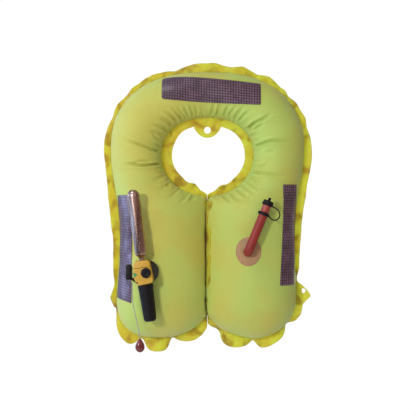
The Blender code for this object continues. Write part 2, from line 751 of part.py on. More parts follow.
def housing(base, look):
    """Body and the collar above its groove, cut out for the parts inside."""
    outline = rounded([(x * MM, z * MM) for x, z in BODY_OUTLINE], 1.6 * MM, 2)
    body, collar = [finish(name, plate(outline, -BODY_FRONT, -BODY_BACK), look["yellow"], base)
                    for name in ("inflator_body", "bayonet_collar")]
    for made in (body, collar):
        soften(made, 1.6 * MM)
    facing = (math.pi / 2, 0, 0)
    top = BODY_SPLIT - 0.2 * MM
    cut(body, cutter("body_top_cutter", block((-FAR, -FAR, top), (FAR, FAR, FAR)), base))
    boss = scaled([(0, -36), (11.2, -36), (12, -35.2), (12, -22), (0, -22)])
    fuse(body, cutter("cap_boss", turned(boss, 24), base))
    cut(body, bore("stem_bore", 3.5 * MM, -30 * MM, 30 * MM, base, NUT, facing))
    cut(body, bore("pin_bore", 1.75 * MM, -10 * MM, 20 * MM, base))
    cut(body, bore("pin_chamber", 4.7 * MM, -FAR, -5 * MM, base))
    half = LEVER_THICK / 2 + 0.4 * MM
    cut(body, cutter("lever_slot", block((-40 * MM, -half, -24.5 * MM), (-2 * MM, half, -9 * MM)), base))
    cut(body, bore("pivot_bore", 1.5 * MM, -17 * MM, 17 * MM, base, LEVER_PIVOT, facing, 12))
    cut(body, cutter("indicator_recess", indicator_shape(0.35 * MM, INDICATOR_SEAT, 30 * MM), base))
    cut(body, bore("plug_recess", 2.2 * MM, 18 * MM, 30 * MM, base, PLUG, facing, 12))
    low = BODY_SPLIT + 0.2 * MM
    cut(collar, cutter("collar_low_cutter", block((-FAR, -FAR, -FAR), (FAR, FAR, low)), base))
    cut(collar, bore("neck_socket", 6.6 * MM, 16 * MM, 40 * MM, base))
    cut(collar, bore("tip_bore", 4.2 * MM, 5 * MM, 20 * MM, base))


def bore(name, radius, low, high, base, location=(0, 0, 0), rotation=(0, 0, 0), segments=20):
    shape = turned([(0, low), (radius, low), (radius, high), (0, high)], segments)
    return cutter(name, shape, base, location, rotation)


def indicator_shape(margin, low, high):
    """Triangle that points right, on the body's front."""
    reach = INDICATOR_REACH + margin
    left = INDICATOR.x - reach * 0.7
    points = [(left, INDICATOR.y + reach), (INDICATOR.x + reach, INDICATOR.y), (left, INDICATOR.y - reach)]
    return plate(points, -high, -low)


def firing_parts(base, look):
    finish("status_indicator", indicator_shape(0, 18.8 * MM, 20.6 * MM), look["green"], base)
    plug = [(0, 18.4), (1.9, 18.4), (1.9, 20.2), (1.4, 20.6), (0, 20.6)]
    finish("body_plug", turned(scaled(plug), 12), look["red"], base, PLUG, (math.pi / 2, 0, 0), 35)
    pin = [(0, -16.6), (1.2, -16.6), (1.2, 16.6), (0, 16.6)]
    finish("lever_pivot_pin", turned(scaled(pin), 12), look["steel"], base, LEVER_PIVOT, (math.pi / 2, 0, 0), 35)
    lever_axis = empty("lever_axis", LEVER_PIVOT, parent=base)
    outline = [(-19, 32), (-13.5, 32), (-12.6, 10), (-8.0, 6.8), (-3.4, 4.6), (3.4, 2.6), (9.8, -3.6), (12.2, -3.6),
               (12.2, -6.1), (3.0, -4.6), (-4.5, -3.2), (-11, 1.2), (-19, 10)]
    shape = rounded([(x * MM, z * MM) for x, z in outline], 1.1 * MM, 2)
    lever = finish("firing_lever", plate(shape, -LEVER_THICK / 2, LEVER_THICK / 2), look["black"], lever_axis)
    cut(lever, bore("lever_eye", 1.6 * MM, -10 * MM, 10 * MM, lever_axis, (0, 0, 0), (math.pi / 2, 0, 0), 12))
    upright = Vector((-math.sin(INFLATOR_LEAN), math.cos(INFLATOR_LEAN)))
    level = Vector((upright.y, -upright.x))
    head = []
    for a, b in ((-1, 1), (1, 1), (1, -1), (-1, -1)):
        head.append((Vector(GRIP_CENTRE) + level * a * GRIP_HALF[0] + upright * b * GRIP_HALF[1]) * MM)
    grip = rounded(head, 5.4 * MM, 4)
    fuse(lever, cutter("lever_head", plate(grip, -LEVER_THICK, LEVER_THICK), lever_axis))
    pin_axis = empty("pin_axis", (0, 0, 0), parent=base)
    point = [(0, -20.8), (4.0, -20.8), (4.0, -18.8), (1.4, -18.8), (1.4, 5.2), (0, 9.2)]
    finish("piercing_pin", turned(scaled(point), 16), look["steel"], pin_axis, smooth=35)
    spring("pin_return_spring", 3.4 * MM, 0.45 * MM, -18.4 * MM, -5.4 * MM, 5, look["steel"], base)
    seat = [(3.4, 16.3), (6.2, 16.3), (6.2, 17.4), (3.4, 17.4)]
    finish("cylinder_seat_gasket", turned(scaled(seat), 16), look["rubber"], base, smooth=35)


def cylinder(base, look):
    """Steel bottle with an open neck, and the thin disc that seals it."""
    axis = empty("cylinder_axis", (0, 0, 0), parent=base)
    outer = [(6.2, 18.7), (6.2, 30), (6.6, 32), (8.6, 35.5), (12.4, 39), (13.8, 43), (14.0, 47), (14.0, 169)]
    dome = [(14.0 * math.cos(a), 169 + 15 * math.sin(a)) for a in [math.pi / 2 * i / 6 for i in range(1, 6)]]
    hollow = [(0, 180), (8.4, 177), (11.8, 169), (11.8, 46), (8.5, 39), (3.2, 33), (3.2, 18.7)]
    profile = outer + dome + [(0, 184)] + hollow
    finish("co2_cylinder", turned(scaled(profile), 24), look["steel"], axis, smooth=35)
    disc = [(0, 17.8), (5.4, 17.8), (5.4, 18.4), (0, 18.4)]
    finish("cylinder_seal_disc", turned(scaled(disc), 16), look["brass"], axis, smooth=35)


def sensing_parts(base, look):
    """Cap under the body with the cartridge, its tablet, and the sprung striker."""
    cap_axis = empty("sensing_cap_axis", (0, 0, 0), parent=base)
    cap = [(14.6, -27.2), (16.4, -27.2), (16.8, -28.2), (16.4, -40), (14.4, -101), (13.4, -106), (10.5, -108.8),
           (0, -109.6), (0, -105.4), (11, -104.8), (12.0, -100), (14.2, -40)]
    finish("sensing_cap", turned(scaled(cap), 24), look["black"], cap_axis, smooth=35)
    seal = [(12.3, -33.5), (14.0, -33.5), (14.0, -31.5), (12.3, -31.5)]
    finish("cap_seal_ring", turned(scaled(seal), 20), look["rubber"], base, smooth=35)
    spool = [(0, -101.5), (10.6, -101.5), (10.6, -99.5), (3.6, -99.5), (3.6, -80.5), (10.6, -80.5), (10.6, -78.5), (0, -78.5)]
    finish("sensing_cartridge", turned(scaled(spool), 20), look["white"], base, smooth=35)
    tablet = [(3.9, -98), (9.6, -98), (9.6, -82), (3.9, -82)]
    finish("soluble_tablet", turned(scaled(tablet), 20), look["white"], base, smooth=35)
    striker_axis = empty("striker_axis", (0, 0, 0), parent=base)
    striker = [(0, -66), (9.6, -66), (9.6, -62.5), (1.5, -62.5), (1.5, -31), (0, -30)]
    finish("striker", turned(scaled(striker), 16), look["black"], striker_axis, smooth=35)
    spring("striker_spring", 7.2 * MM, 0.7 * MM, -78.2 * MM, -66.3 * MM, 4, look["steel"], base)


# ---------------------------------------------------------------- pull cord

def pull_cord(look):
    route = through([Vector(point) * MM for point in CORD_ROUTE], 24)
    curve = bpy.data.curves.new("pull_cord", "CURVE")
    curve.dimensions = "3D"
    curve.bevel_depth = CORD_R
    curve.bevel_resolution = 2
    curve.use_fill_caps = True
    line = curve.splines.new("POLY")
    line.points.add(len(route) - 1)
    for point, place in zip(line.points, route):
        point.co = (*place, 1)
    made = bpy.data.objects.new("pull_cord", curve)
    curve.materials.append(look["cord"])
    bpy.context.collection.objects.link(made)
    drop = [(0, -15), (3.5, -14.4), (7.5, -11.8), (10.0, -7.5), (10.6, -3), (9.6, 2.5), (7.0, 8), (4.4, 12),
            (3.2, 14.2), (2.2, 15), (0, 15)]
    bm = turned(scaled(drop), 18)
    bmesh.ops.scale(bm, vec=(1, 0.62, 1), verts=bm.verts)
    finish("pull_toggle", bm, look["red"], None, TOGGLE, smooth=35)


def build():
    clear_scene()
    look = colours()
    front = panel("front_panel", 1, look["panel"])
    panel("back_panel", -1, look["panel"])
    outer_flange(look["flange"])
    neck_flange(look["flange"])
    slit_flange("left_slit_flange", -1, look["flange"])
    slit_flange("right_slit_flange", 1, look["flange"])
    side_tab("left_eyelet_tab", -1, LEFT_TAB_Z, LEFT_TAB_TURN, look["flange"])
    side_tab("right_eyelet_tab", 1, RIGHT_TAB_Z, 0.0, look["flange"])
    side_tape("left_reflective_tape", -1, LEFT_TAPE_SPAN, (2.6, 5.5), (35, 37), look["tape"])
    side_tape("right_reflective_tape", 1, RIGHT_TAPE_SPAN, (8, 11), (42, 43), look["tape"])
    find = surface_finder(front)
    top_tape(find, look["tape"])
    oral_flange(find, look["tan"])
    oral_inflator(look)
    gas_inflator(look)
    pull_cord(look)


build()
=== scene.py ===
"""Looks of an inflated life jacket bladder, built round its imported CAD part.

Row frame: metres, +Z up, front towards -Y, origin at the eyelet hole above the neck opening.
"""

import math

import bmesh
import bpy
import numpy as np
from mathutils import Matrix, Vector
from mathutils.bvhtree import BVHTree


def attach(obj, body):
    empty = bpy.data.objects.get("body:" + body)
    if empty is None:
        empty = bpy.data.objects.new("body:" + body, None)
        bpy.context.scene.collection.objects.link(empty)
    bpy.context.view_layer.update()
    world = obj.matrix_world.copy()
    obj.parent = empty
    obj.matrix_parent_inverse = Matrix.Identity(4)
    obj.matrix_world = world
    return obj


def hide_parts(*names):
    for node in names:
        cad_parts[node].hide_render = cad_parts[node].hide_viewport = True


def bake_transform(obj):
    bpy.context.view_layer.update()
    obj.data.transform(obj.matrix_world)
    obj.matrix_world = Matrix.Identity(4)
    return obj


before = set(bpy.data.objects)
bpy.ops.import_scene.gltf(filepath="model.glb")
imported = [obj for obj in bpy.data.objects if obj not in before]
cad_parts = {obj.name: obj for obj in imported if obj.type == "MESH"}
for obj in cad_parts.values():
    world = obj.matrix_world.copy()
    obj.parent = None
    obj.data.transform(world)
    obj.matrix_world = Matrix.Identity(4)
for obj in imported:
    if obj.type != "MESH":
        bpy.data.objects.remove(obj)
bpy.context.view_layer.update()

MM = 0.001
TO_FRONT = Matrix.Rotation(math.pi / 2, 4, "X")
BLADDER = "bladder"


# ---------------------------------------------------------------- camera

VIEW_DISTANCE = 2.2
VIEW_CENTRE = (0.0014, -0.1789)
VIEW_WIDTH = 0.9568
SENSOR = 36.0


def make_camera():
    data = bpy.data.cameras.new("camera")
    data.sensor_width = SENSOR
    data.lens = SENSOR * VIEW_DISTANCE / VIEW_WIDTH
    made = bpy.data.objects.new("camera", data)
    made.location = (VIEW_CENTRE[0], -VIEW_DISTANCE, VIEW_CENTRE[1])
    made.rotation_euler = (math.pi / 2, 0, 0)
    bpy.context.scene.collection.objects.link(made)
    bpy.context.scene.camera = made


make_camera()


# ---------------------------------------------------------------- mesh helpers


def smooth(t):
    t = np.clip(t, 0.0, 1.0)
    return t * t * (3 - 2 * t)


def link(name, mesh, look, shaded=True):
    made = bpy.data.objects.new(name, mesh)
    bpy.context.scene.collection.objects.link(made)
    for one in look if isinstance(look, (list, tuple)) else [look]:
        mesh.materials.append(one)
    if shaded:
        mesh.shade_smooth()
    return made


def mesh_of(name, points, faces, uv=None):
    mesh = bpy.data.meshes.new(name)
    mesh.from_pydata([tuple(p) for p in np.asarray(points, float).reshape(-1, 3)], [], faces)
    mesh.update()
    if uv is not None:
        layer = mesh.uv_layers.new(name="UVMap")
        flat = np.asarray(uv, float).reshape(-1, 2)
        corners = np.zeros(len(mesh.loops), int)
        mesh.loops.foreach_get("vertex_index", corners)
        layer.data.foreach_set("uv", flat[corners].ravel())
    return mesh


def grid_faces(rows, cols, offset=0, flip=False, closed=False):
    faces = []
    last = rows if closed else rows - 1
    for i in range(last):
        k = (i + 1) % rows
        for j in range(cols - 1):
            here, there = offset + i * cols + j, offset + k * cols + j
            face = (here, here + 1, there + 1, there)
            faces.append(face[::-1] if flip else face)
    return faces


def thicken(obj, width, offset=0.0):
    step = obj.modifiers.new("thickness", "SOLIDIFY")
    step.thickness = width
    step.offset = offset


def bake(obj):
    """Replace an object's mesh by what its modifiers make of it."""
    bpy.context.view_layer.update()
    seen = obj.evaluated_get(bpy.context.evaluated_depsgraph_get())
    mesh = bpy.data.meshes.new_from_object(seen)
    old = obj.data
    obj.modifiers.clear()
    obj.data = mesh
    bpy.data.meshes.remove(old)


def crisp(obj, degrees=38):
    obj.data.shade_smooth()
    obj.data.set_sharp_from_angle(angle=math.radians(degrees))
    return obj


def recalc(mesh):
    bm = bmesh.new()
    bm.from_mesh(mesh)
    bmesh.ops.recalc_face_normals(bm, faces=bm.faces)
    bm.to_mesh(mesh)
    bm.free()


def fillet(profile, radius, steps=4):
    """Profile of (r, z) points with its corners rounded."""
    made = []
    count = len(profile)
    for i, point in enumerate(profile):
        here = Vector(point)
        before, after = Vector(profile[i - 1]) - here, Vector(profile[(i + 1) % count]) - here
        if here.x < 1e-9 or before.length < 1e-9 or after.length < 1e-9:
            made.append((here.x, here.y))
            continue
        reach = min(radius, before.length * 0.45, after.length * 0.45)
        a, b = here + before.normalized() * reach, here + after.normalized() * reach
        for k in range(steps + 1):
            t = k / steps
            spot = (1 - t) ** 2 * a + 2 * t * (1 - t) * here + t * t * b
            made.append((spot.x, spot.y))
    return made


def lathe(name, profile, place, look, segments=64, radius=0.5, wobble=None):
    """Piece turned about its frame's z axis from (r, z) points in millimetres."""
    outline = fillet(profile, radius)
    points, faces = [], []
    rings = []
    for r, z in outline:
        if r < 1e-6:
            rings.append([len(points)] * segments)
            points.append((0, 0, z))
            continue
        rings.append(list(range(len(points), len(points) + segments)))
        for k in range(segments):
            a = 2 * math.pi * k / segments
            grow = wobble(a, z) if wobble else 0.0
            points.append(((r + grow) * math.cos(a), (r + grow) * math.sin(a), z))
    for here, there in zip(rings, rings[1:] + rings[:1]):
        for k in range(segments):
            n = (k + 1) % segments
            face = []
            for v in (here[k], here[n], there[n], there[k]):
                if v not in face:
                    face.append(v)
            if len(face) > 2:
                faces.append(face)
    mesh = mesh_of(name, np.array(points) * MM, faces)
    recalc(mesh)
    mesh.transform(place)
    return crisp(link(name, mesh, look), 32)


def plate(name, outline, low, high, place, look, rounding=0.0, steps=3):
    """Piece cut from a plate: (x, z) outline in millimetres, between two heights towards the front."""
    bm = bmesh.new()
    base = bm.faces.new([bm.verts.new((x * MM, -low * MM, z * MM)) for x, z in outline])
    made = bmesh.ops.extrude_face_region(bm, geom=[base])
    moved = [item for item in made["geom"] if isinstance(item, bmesh.types.BMVert)]
    bmesh.ops.translate(bm, vec=(0, (low - high) * MM, 0), verts=moved)
    bmesh.ops.recalc_face_normals(bm, faces=bm.faces)
    mesh = bpy.data.meshes.new(name)
    bm.to_mesh(mesh)
    bm.free()
    mesh.transform(place)
    obj = link(name, mesh, look)
    if rounding:
        step = obj.modifiers.new("rounding", "BEVEL")
        step.width = rounding * MM
        step.segments = steps
        step.limit_method = "ANGLE"
        step.angle_limit = math.radians(40)
        step.harden_normals = False
    return obj


def rounded(corners, radius, steps=5):
    return fillet(corners, radius, steps)


def carve(target, tool):
    step = target.modifiers.new("carve", "BOOLEAN")
    step.operation = "DIFFERENCE"
    step.solver = "EXACT"
    step.object = tool


def drop(*objs):
    for obj in objs:
        bpy.data.objects.remove(obj, do_unlink=True)


def join(name, parts):
    """One object of several meshes, each keeping its own materials."""
    bpy.context.view_layer.update()
    bm = bmesh.new()
    looks = []
    for part in parts:
        seen = part.evaluated_get(bpy.context.evaluated_depsgraph_get())
        mesh = bpy.data.meshes.new_from_object(seen)
        mesh.transform(part.matrix_world)
        slots = []
        for one in mesh.materials:
            if one not in looks:
                looks.append(one)
            slots.append(looks.index(one))
        if slots:
            for face in mesh.polygons:
                face.material_index = slots[min(face.material_index, len(slots) - 1)]
        bm.from_mesh(mesh)
        bpy.data.meshes.remove(mesh)
    mesh = bpy.data.meshes.new(name)
    bm.to_mesh(mesh)
    bm.free()
    drop(*parts)
    return link(name, mesh, looks, shaded=False)


def riding(obj, body, node):
    """Fix a piece to its body, in place of its CAD node or nodes."""
    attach(obj, body)
    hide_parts(*([node] if isinstance(node, str) else node))
    return obj


def arc_length(points):
    """Distance along a polyline at each of its points."""
    return np.concatenate([[0], np.cumsum(np.linalg.norm(np.diff(points, axis=0), axis=1))])


def spline(points, count):
    """Points evenly spread on a smooth curve through the given ones."""
    line = [Vector(p) for p in points]
    dense = []
    last = len(line) - 1
    for i in range(last):
        a, b, c, d = line[max(i - 1, 0)], line[i], line[i + 1], line[min(i + 2, last)]
        for k in range(16):
            t = k / 16
            bend, twist = 2 * a - 5 * b + 4 * c - d, 3 * b - a - 3 * c + d
            dense.append((2 * b + (c - a) * t + bend * t * t + twist * t ** 3) / 2)
    dense.append(line[-1])
    array = np.array([tuple(p) for p in dense])
    run = arc_length(array)
    goal = np.linspace(0, run[-1], count)
    return [Vector([np.interp(g, run, array[:, axis]) for axis in range(array.shape[1])]) for g in goal]


def pipe(name, path, section, look, up=(0, 1, 0), caps=True):
    """Outline of (across, up) offsets carried along a path."""
    points, faces = [], []
    lift = Vector(up)
    size = len(section)
    for i, spot in enumerate(path):
        along = (path[min(i + 1, len(path) - 1)] - path[max(i - 1, 0)]).normalized()
        across = along.cross(lift).normalized()
        lift = across.cross(along).normalized()
        for a, b in section:
            points.append(spot + across * a + lift * b)
    for i in range(len(path) - 1):
        for k in range(size):
            n = (k + 1) % size
            faces.append((i * size + k, i * size + n, (i + 1) * size + n, (i + 1) * size + k))
    if caps:
        faces.append(tuple(range(size)))
        faces.append(tuple(reversed(range((len(path) - 1) * size, len(path) * size))))
    mesh = mesh_of(name, [tuple(p) for p in points], faces)
    recalc(mesh)
    return crisp(link(name, mesh, look), 40)


def ring_section(radius, segments=32):
    turns = [2 * math.pi * k / segments for k in range(segments)]
    return [(radius * math.cos(a), radius * math.sin(a)) for a in turns]


# ---------------------------------------------------------------- materials


class Look:
    """A procedural material; its patterns are fixed to the piece."""

    def __init__(self, name, colour, rough, metal=0.0, **sockets):
        self.made = bpy.data.materials.new(name)
        self.made.use_nodes = True
        self.tree = self.made.node_tree
        self.shader = self.tree.nodes["Principled BSDF"]
        self.set(self.shader, "Base Color", (*colour, 1))
        self.set(self.shader, "Roughness", rough)
        self.set(self.shader, "Metallic", metal)
        for key, value in sockets.items():
            self.set(self.shader, key.replace("_", " "), value)
        self.where = self.node("ShaderNodeTexCoord").outputs["Object"]

    def node(self, kind, sockets=None, **values):
        made = self.tree.nodes.new(kind)
        for key, value in values.items():
            setattr(made, key, value)
        for key, value in (sockets or {}).items():
            self.set(made, key, value)
        return made

    def set(self, node, socket, value):
        if isinstance(value, bpy.types.NodeSocket):
            self.tree.links.new(value, node.inputs[socket])
        else:
            node.inputs[socket].default_value = value

    def mapped(self, scale=(1, 1, 1), turn=(0, 0, 0)):
        sockets = {"Vector": self.where, "Scale": scale, "Rotation": turn}
        return self.node("ShaderNodeMapping", sockets).outputs["Vector"]

    def noise(self, scale, detail=2.0, rough=0.5, source=None, distort=0.0):
        sockets = {"Vector": source or self.where, "Scale": scale, "Detail": detail, "Roughness": rough,
                   "Distortion": distort}
        return self.node("ShaderNodeTexNoise", sockets).outputs["Fac"]

    def bands(self, pitch, axis="X", source=None):
        sockets = {"Vector": source or self.where, "Scale": 2 * math.pi / (20 * pitch)}
        return self.node("ShaderNodeTexWave", sockets, bands_direction=axis).outputs["Fac"]

    def maths(self, kind, a, b=0.0):
        return self.node("ShaderNodeMath", {0: a, 1: b}, operation=kind).outputs[0]

    def ramp(self, fac, stops):
        made = self.node("ShaderNodeValToRGB", {"Fac": fac})
        ladder = made.color_ramp
        while len(ladder.elements) < len(stops):
            ladder.elements.new(0.5)
        for element, (place, colour) in zip(ladder.elements, stops):
            element.position = place
            element.color = (*colour, 1)
        return made.outputs["Color"]

    def mix(self, fac, a, b, kind="MIX"):
        made = self.node("ShaderNodeMix", data_type="RGBA", blend_type=kind)
        indices = [k for k, socket in enumerate(made.inputs) if socket.enabled]
        for index, value in zip(indices, (fac, a, b)):
            self.set(made, index, (*value, 1) if isinstance(value, tuple) else value)
        return next(s for s in made.outputs if s.enabled)

    def colour(self, value):
        self.set(self.shader, "Base Color", value)

    def roughness(self, fac, low, high):
        made = self.node("ShaderNodeMapRange", {"Value": fac, "To Min": low, "To Max": high})
        self.set(self.shader, "Roughness", made.outputs["Result"])

    def bump(self, *heights):
        """Bumps of (height socket, size in metres), from the coarsest to the finest."""
        normal = None
        for height, size in heights:
            made = self.node("ShaderNodeBump", {"Distance": size, "Strength": 1.0, "Height": height})
            if normal is not None:
                self.set(made, "Normal", normal)
            normal = made.outputs["Normal"]
        self.set(self.shader, "Normal", normal)


def tints(colour, low, high):
    return [tuple(min(1.0, c * low) for c in colour), tuple(min(1.0, c * high) for c in colour)]


WEAVE_PITCH = 0.0011
FILM_CELL = 0.0060


def coated_fabric(name, colour, warm_tone_and_shade, rough, through=0.0, patch=9):
    """Plain-woven cloth under a thin satin coating, uneven in colour at random, with painted light along x: towards
    the left the warm tone as painted shade, towards the right the colour as painted cool light.

    through is the share of light that it lets through.
    """
    look = Look(name, colour, rough, Specular_IOR_Level=0.35, Sheen_Weight=0.15, Sheen_Roughness=0.5)
    split = look.node("ShaderNodeSeparateXYZ", {0: look.where})
    # Random patches of tone plus half the x position: painted light that turns the left side to the warm tone as
    # painted shade and the right side to the colour
    patches_and_painted_light = look.maths("ADD", look.noise(patch, 3, 0.5), look.maths("MULTIPLY", split.outputs["X"], 0.5))
    fine = look.noise(420, 2, 0.6)
    base = look.ramp(patches_and_painted_light, [(0.35, warm_tone_and_shade), (0.65, colour)])
    dark, light = tints((1, 1, 1), 0.93, 1.0)
    base = look.mix(0.5, base, look.ramp(fine, [(0.3, dark), (0.7, light)]), "MULTIPLY")
    look.colour(base)
    threads = look.maths("ADD", look.bands(WEAVE_PITCH, "X"), look.bands(WEAVE_PITCH, "Z"))
    look.roughness(look.noise(60, 3), rough - 0.06, rough + 0.08)
    look.bump((look.noise(55, 4, 0.6, distort=0.6), 0.0009), (threads, 0.00010))
    if through:
        # Brownish blotches multiplied into the colour: painted shade of the creases in the flange
        clouds = look.noise(38, 1, 0.4, distort=0.3)
        painted_crease_shade = look.ramp(clouds, [(0.28, (0.74, 0.60, 0.50)), (0.50, (1, 1, 1))])
        base = look.mix(1.0, base, painted_crease_shade, "MULTIPLY")
        look.colour(base)
        glow = look.node("ShaderNodeBsdfTranslucent", {"Color": base})
        both = look.node("ShaderNodeMixShader", {0: through, 1: look.shader.outputs[0], 2: glow.outputs[0]})
        look.set(look.tree.nodes["Material Output"], "Surface", both.outputs[0])
    return look.made


def grid_film(name):
    """Retroreflective film: small square cells under a clear coat, with cloudy patches."""
    look = Look(name, (0.12, 0.08, 0.12), 0.34, Specular_IOR_Level=0.5, Coat_Weight=0.25,
                Coat_Roughness=0.16)
    place = look.node("ShaderNodeTexCoord").outputs["UV"]
    sockets = {"Vector": place, "Scale": 1.0, "Mortar Size": 0.0011, "Mortar Smooth": 0.25,
               "Brick Width": FILM_CELL, "Row Height": FILM_CELL, "Bias": 0.0, "Color1": (0.175, 0.115, 0.145, 1),
               "Color2": (0.120, 0.078, 0.100, 1), "Mortar": (0.034, 0.020, 0.040, 1)}
    cells = look.node("ShaderNodeTexBrick", sockets, offset=0.0, squash=1.0)
    cloud = look.ramp(look.noise(34, 4, 0.6), [(0.35, (0.70, 0.68, 0.72)), (0.68, (1.35, 1.3, 1.35))])
    look.colour(look.mix(1.0, cells.outputs["Color"], cloud, "MULTIPLY"))
    look.roughness(look.noise(80, 3), 0.26, 0.46)
    walls = look.maths("SUBTRACT", 1.0, cells.outputs["Fac"])
    look.bump((look.noise(38, 3, 0.5, distort=0.8), 0.0012), (walls, 0.00012))
    return look.made


def moulded(name, colour, rough, worn=1.25, **sockets):
    """Moulded plastic with a fine eroded grain and lighter rubbed patches."""
    look = Look(name, colour, rough, **sockets)
    dark, light = tints(colour, 0.86, worn)
    look.colour(look.ramp(look.noise(70, 4, 0.6), [(0.3, dark), (0.5, colour), (0.75, light)]))
    look.roughness(look.noise(160, 3), rough - 0.07, rough + 0.09)
    look.bump((look.noise(240, 2), 0.00008), (look.noise(1600, 2), 0.00004))
    return look.made


def plated(name, colours, rough, turn=(0, 0, 0)):
    """Plated metal with painted reflections: light and dark streaks along its length stand in for what it mirrors;
    colours run dark to light, then the specks.
    """
    look = Look(name, colours[0], rough, 1.0)
    along = look.mapped((1, 1, 0.02), turn)
    reflection_streaks = look.noise(70, 3, 0.55, along)
    speckle = look.noise(700, 2, 0.6)
    base = look.ramp(reflection_streaks, [(0.32, colours[0]), (0.47, colours[1]), (0.6, colours[2])])
    look.colour(look.mix(look.maths("GREATER_THAN", speckle, 0.62), base, colours[3]))
    look.roughness(look.noise(300, 3), rough, rough + 0.16)
    look.bump((look.noise(900, 2), 0.00002))
    return look.made


def braided(name, colour):
    """Thin cord of slanted strands."""
    look = Look(name, colour, 0.85, Sheen_Weight=0.4, Sheen_Roughness=0.6)
    turned = look.mapped(turn=(0, math.radians(38), 0))
    strands = look.bands(0.0012, "Z", turned)
    dark, light = tints(colour, 0.6, 1.15)
    look.colour(look.ramp(strands, [(0.1, dark), (0.6, light)]))
    look.roughness(look.noise(500, 2), 0.75, 0.95)
    look.bump((strands, 0.00025), (look.noise(2500, 2), 0.00006))
    return look.made


LIME = (0.445, 0.630, 0.130)
OLIVE = (0.520, 0.545, 0.095)
NEON = (0.900, 0.940, 0.200)
# Amber for the flange's patches: painted shade, the brownish tone of the shade in its folds
AMBER_PAINTED_SHADE = (0.880, 0.790, 0.150)
# Dark to pinkish tones of the cylinder's streaks: painted reflections
STEEL_PAINTED_REFLECTIONS = [(0.08, 0.045, 0.035), (0.32, 0.20, 0.15), (0.58, 0.46, 0.42), (0.62, 0.53, 0.50)]
SPRING_STEEL = [(0.35, 0.34, 0.33), (0.5, 0.5, 0.5), (0.62, 0.62, 0.62), (0.7, 0.7, 0.7)]
BRASS = [(0.50, 0.33, 0.11), (0.65, 0.46, 0.18), (0.8, 0.6, 0.3), (0.8, 0.65, 0.4)]
INFLATOR_LEAN = math.radians(-7.8)
LOOKS = {
    "panel": coated_fabric("coated_fabric", LIME, OLIVE, 0.50),
    "flange": coated_fabric("weld_flange", NEON, AMBER_PAINTED_SHADE, 0.44, 0.75, 24),
    "tape": grid_film("reflective_film"),
    "black": moulded("black_plastic", (0.005, 0.005, 0.006), 0.44, worn=2.2, Specular_IOR_Level=0.2),
    "rubber": moulded("black_rubber", (0.007, 0.007, 0.008), 0.62, worn=1.8, Specular_IOR_Level=0.2),
    "yellow": moulded("yellow_plastic", (0.58, 0.37, 0.040), 0.42, worn=1.12),
    "green": moulded("green_plastic", (0.010, 0.300, 0.110), 0.35),
    "red": moulded("red_plastic", (0.135, 0.014, 0.011), 0.26, Coat_Weight=0.4, Coat_Roughness=0.08),
    "red_tube": moulded("red_tube", (0.250, 0.026, 0.017), 0.50, Specular_IOR_Level=0.35),
    "red_valve": moulded("red_valve", (0.330, 0.052, 0.034), 0.42),
    "tan": moulded("tan_film", (0.390, 0.240, 0.110), 0.45),
    "steel": plated("plated_steel", STEEL_PAINTED_REFLECTIONS, 0.22, (0, INFLATOR_LEAN, 0)),
    "spring_steel": plated("spring_steel", SPRING_STEEL, 0.25),
    "brass": plated("brass", BRASS, 0.25),
    "white": moulded("white_tablet", (0.78, 0.78, 0.74), 0.75),
    # Dark grey plastic; its slight green tint is a painted reflection of the lime bladder beside the manifold disc
    "grey": moulded("grey_plastic", (0.040, 0.050, 0.038), 0.36),
    "cord": braided("grey_cord", (0.40, 0.40, 0.34)),
}


# ---------------------------------------------------------------- pull cord

CORD_R = 1.0 * MM
CORD_ROUTE = [
    (-165.4, -94, -343.7), (-165.3, -94, -357), (-165.1, -94, -373), (-164.1, -94, -389), (-161, -94, -405),
    (-157.3, -94, -421), (-153.6, -94, -437), (-150.6, -94, -453), (-148.6, -94, -466.7),
]
TOGGLE = Vector((-148.4, -94.0, -482.0)) * MM


def pull_cord():
    route = [Vector(p) * MM for p in CORD_ROUTE]
    curve = bpy.data.curves.new("cord_line", "CURVE")
    curve.dimensions = "3D"
    curve.bevel_depth = CORD_R
    curve.bevel_resolution = 4
    curve.use_fill_caps = True
    line = curve.splines.new("POLY")
    path = spline(route, 60)
    line.points.add(len(path) - 1)
    for point, spot in zip(line.points, path):
        point.co = (*spot, 1)
    line.use_smooth = True
    curve.materials.append(LOOKS["cord"])
    cord = bpy.data.objects.new("cord_line", curve)
    bpy.context.scene.collection.objects.link(cord)
    drop_shape = [(0, -15), (3.5, -14.4), (7.3, -11.8), (9.8, -7.5), (10.5, -3), (9.6, 2.3), (7.4, 7), (5.2, 10.6),
                  (3.6, 13.2), (2.4, 14.8), (1.4, 15), (0, 15)]
    place = Matrix.Translation(TOGGLE) @ Matrix.Diagonal((1, 0.62, 1, 1))
    toggle = lathe("toggle_bead", drop_shape, place, LOOKS["red"], 48, 1.6)
    for piece, node, slot in ((cord, "pull_cord", "cord"), (toggle, "pull_toggle", "red")):
        riding(piece, "pull_cord", node)


pull_cord()


# ---------------------------------------------------------------- chamber outline

GAP = 0.3
LOBE_TIP = (110.0, -477.0)
INNER_CAP_Z = -408.0
OUTER_CAP_Z = -385.0
LOBE_OUTER_X = 204.0
WAIST_X = 200.0
WAIST_Z = -235.0
SHOULDER_X = 222.0
SHOULDER_Z = -47.0
TOP_Z = 133.0
TOP_POWER = 2.4
LEFT_CAP_POWER = 2.5
LEFT_EXTRA = 4.0
SLIT_HALF = 2.0
NECK_Z = -60.0
NECK_HALF_WIDTH = 106.0
NECK_RISE = 88.5
NECK_DROP = 91.5
NECK_POWER = 2.25
CAP_END = 0.15
CUSP = 0.42
SHOULDER = 0.66
CUSP_ROUND = (0.013, 0.024)


def side_half_width(z, side):
    if z > WAIST_Z:
        return WAIST_X + (SHOULDER_X - WAIST_X) * smooth((z - WAIST_Z) / (SHOULDER_Z - WAIST_Z))
    swell = LOBE_OUTER_X + (LEFT_EXTRA if side < 0 else 0.0) - WAIST_X
    return WAIST_X + swell * smooth((WAIST_Z - z) / (WAIST_Z - OUTER_CAP_Z))


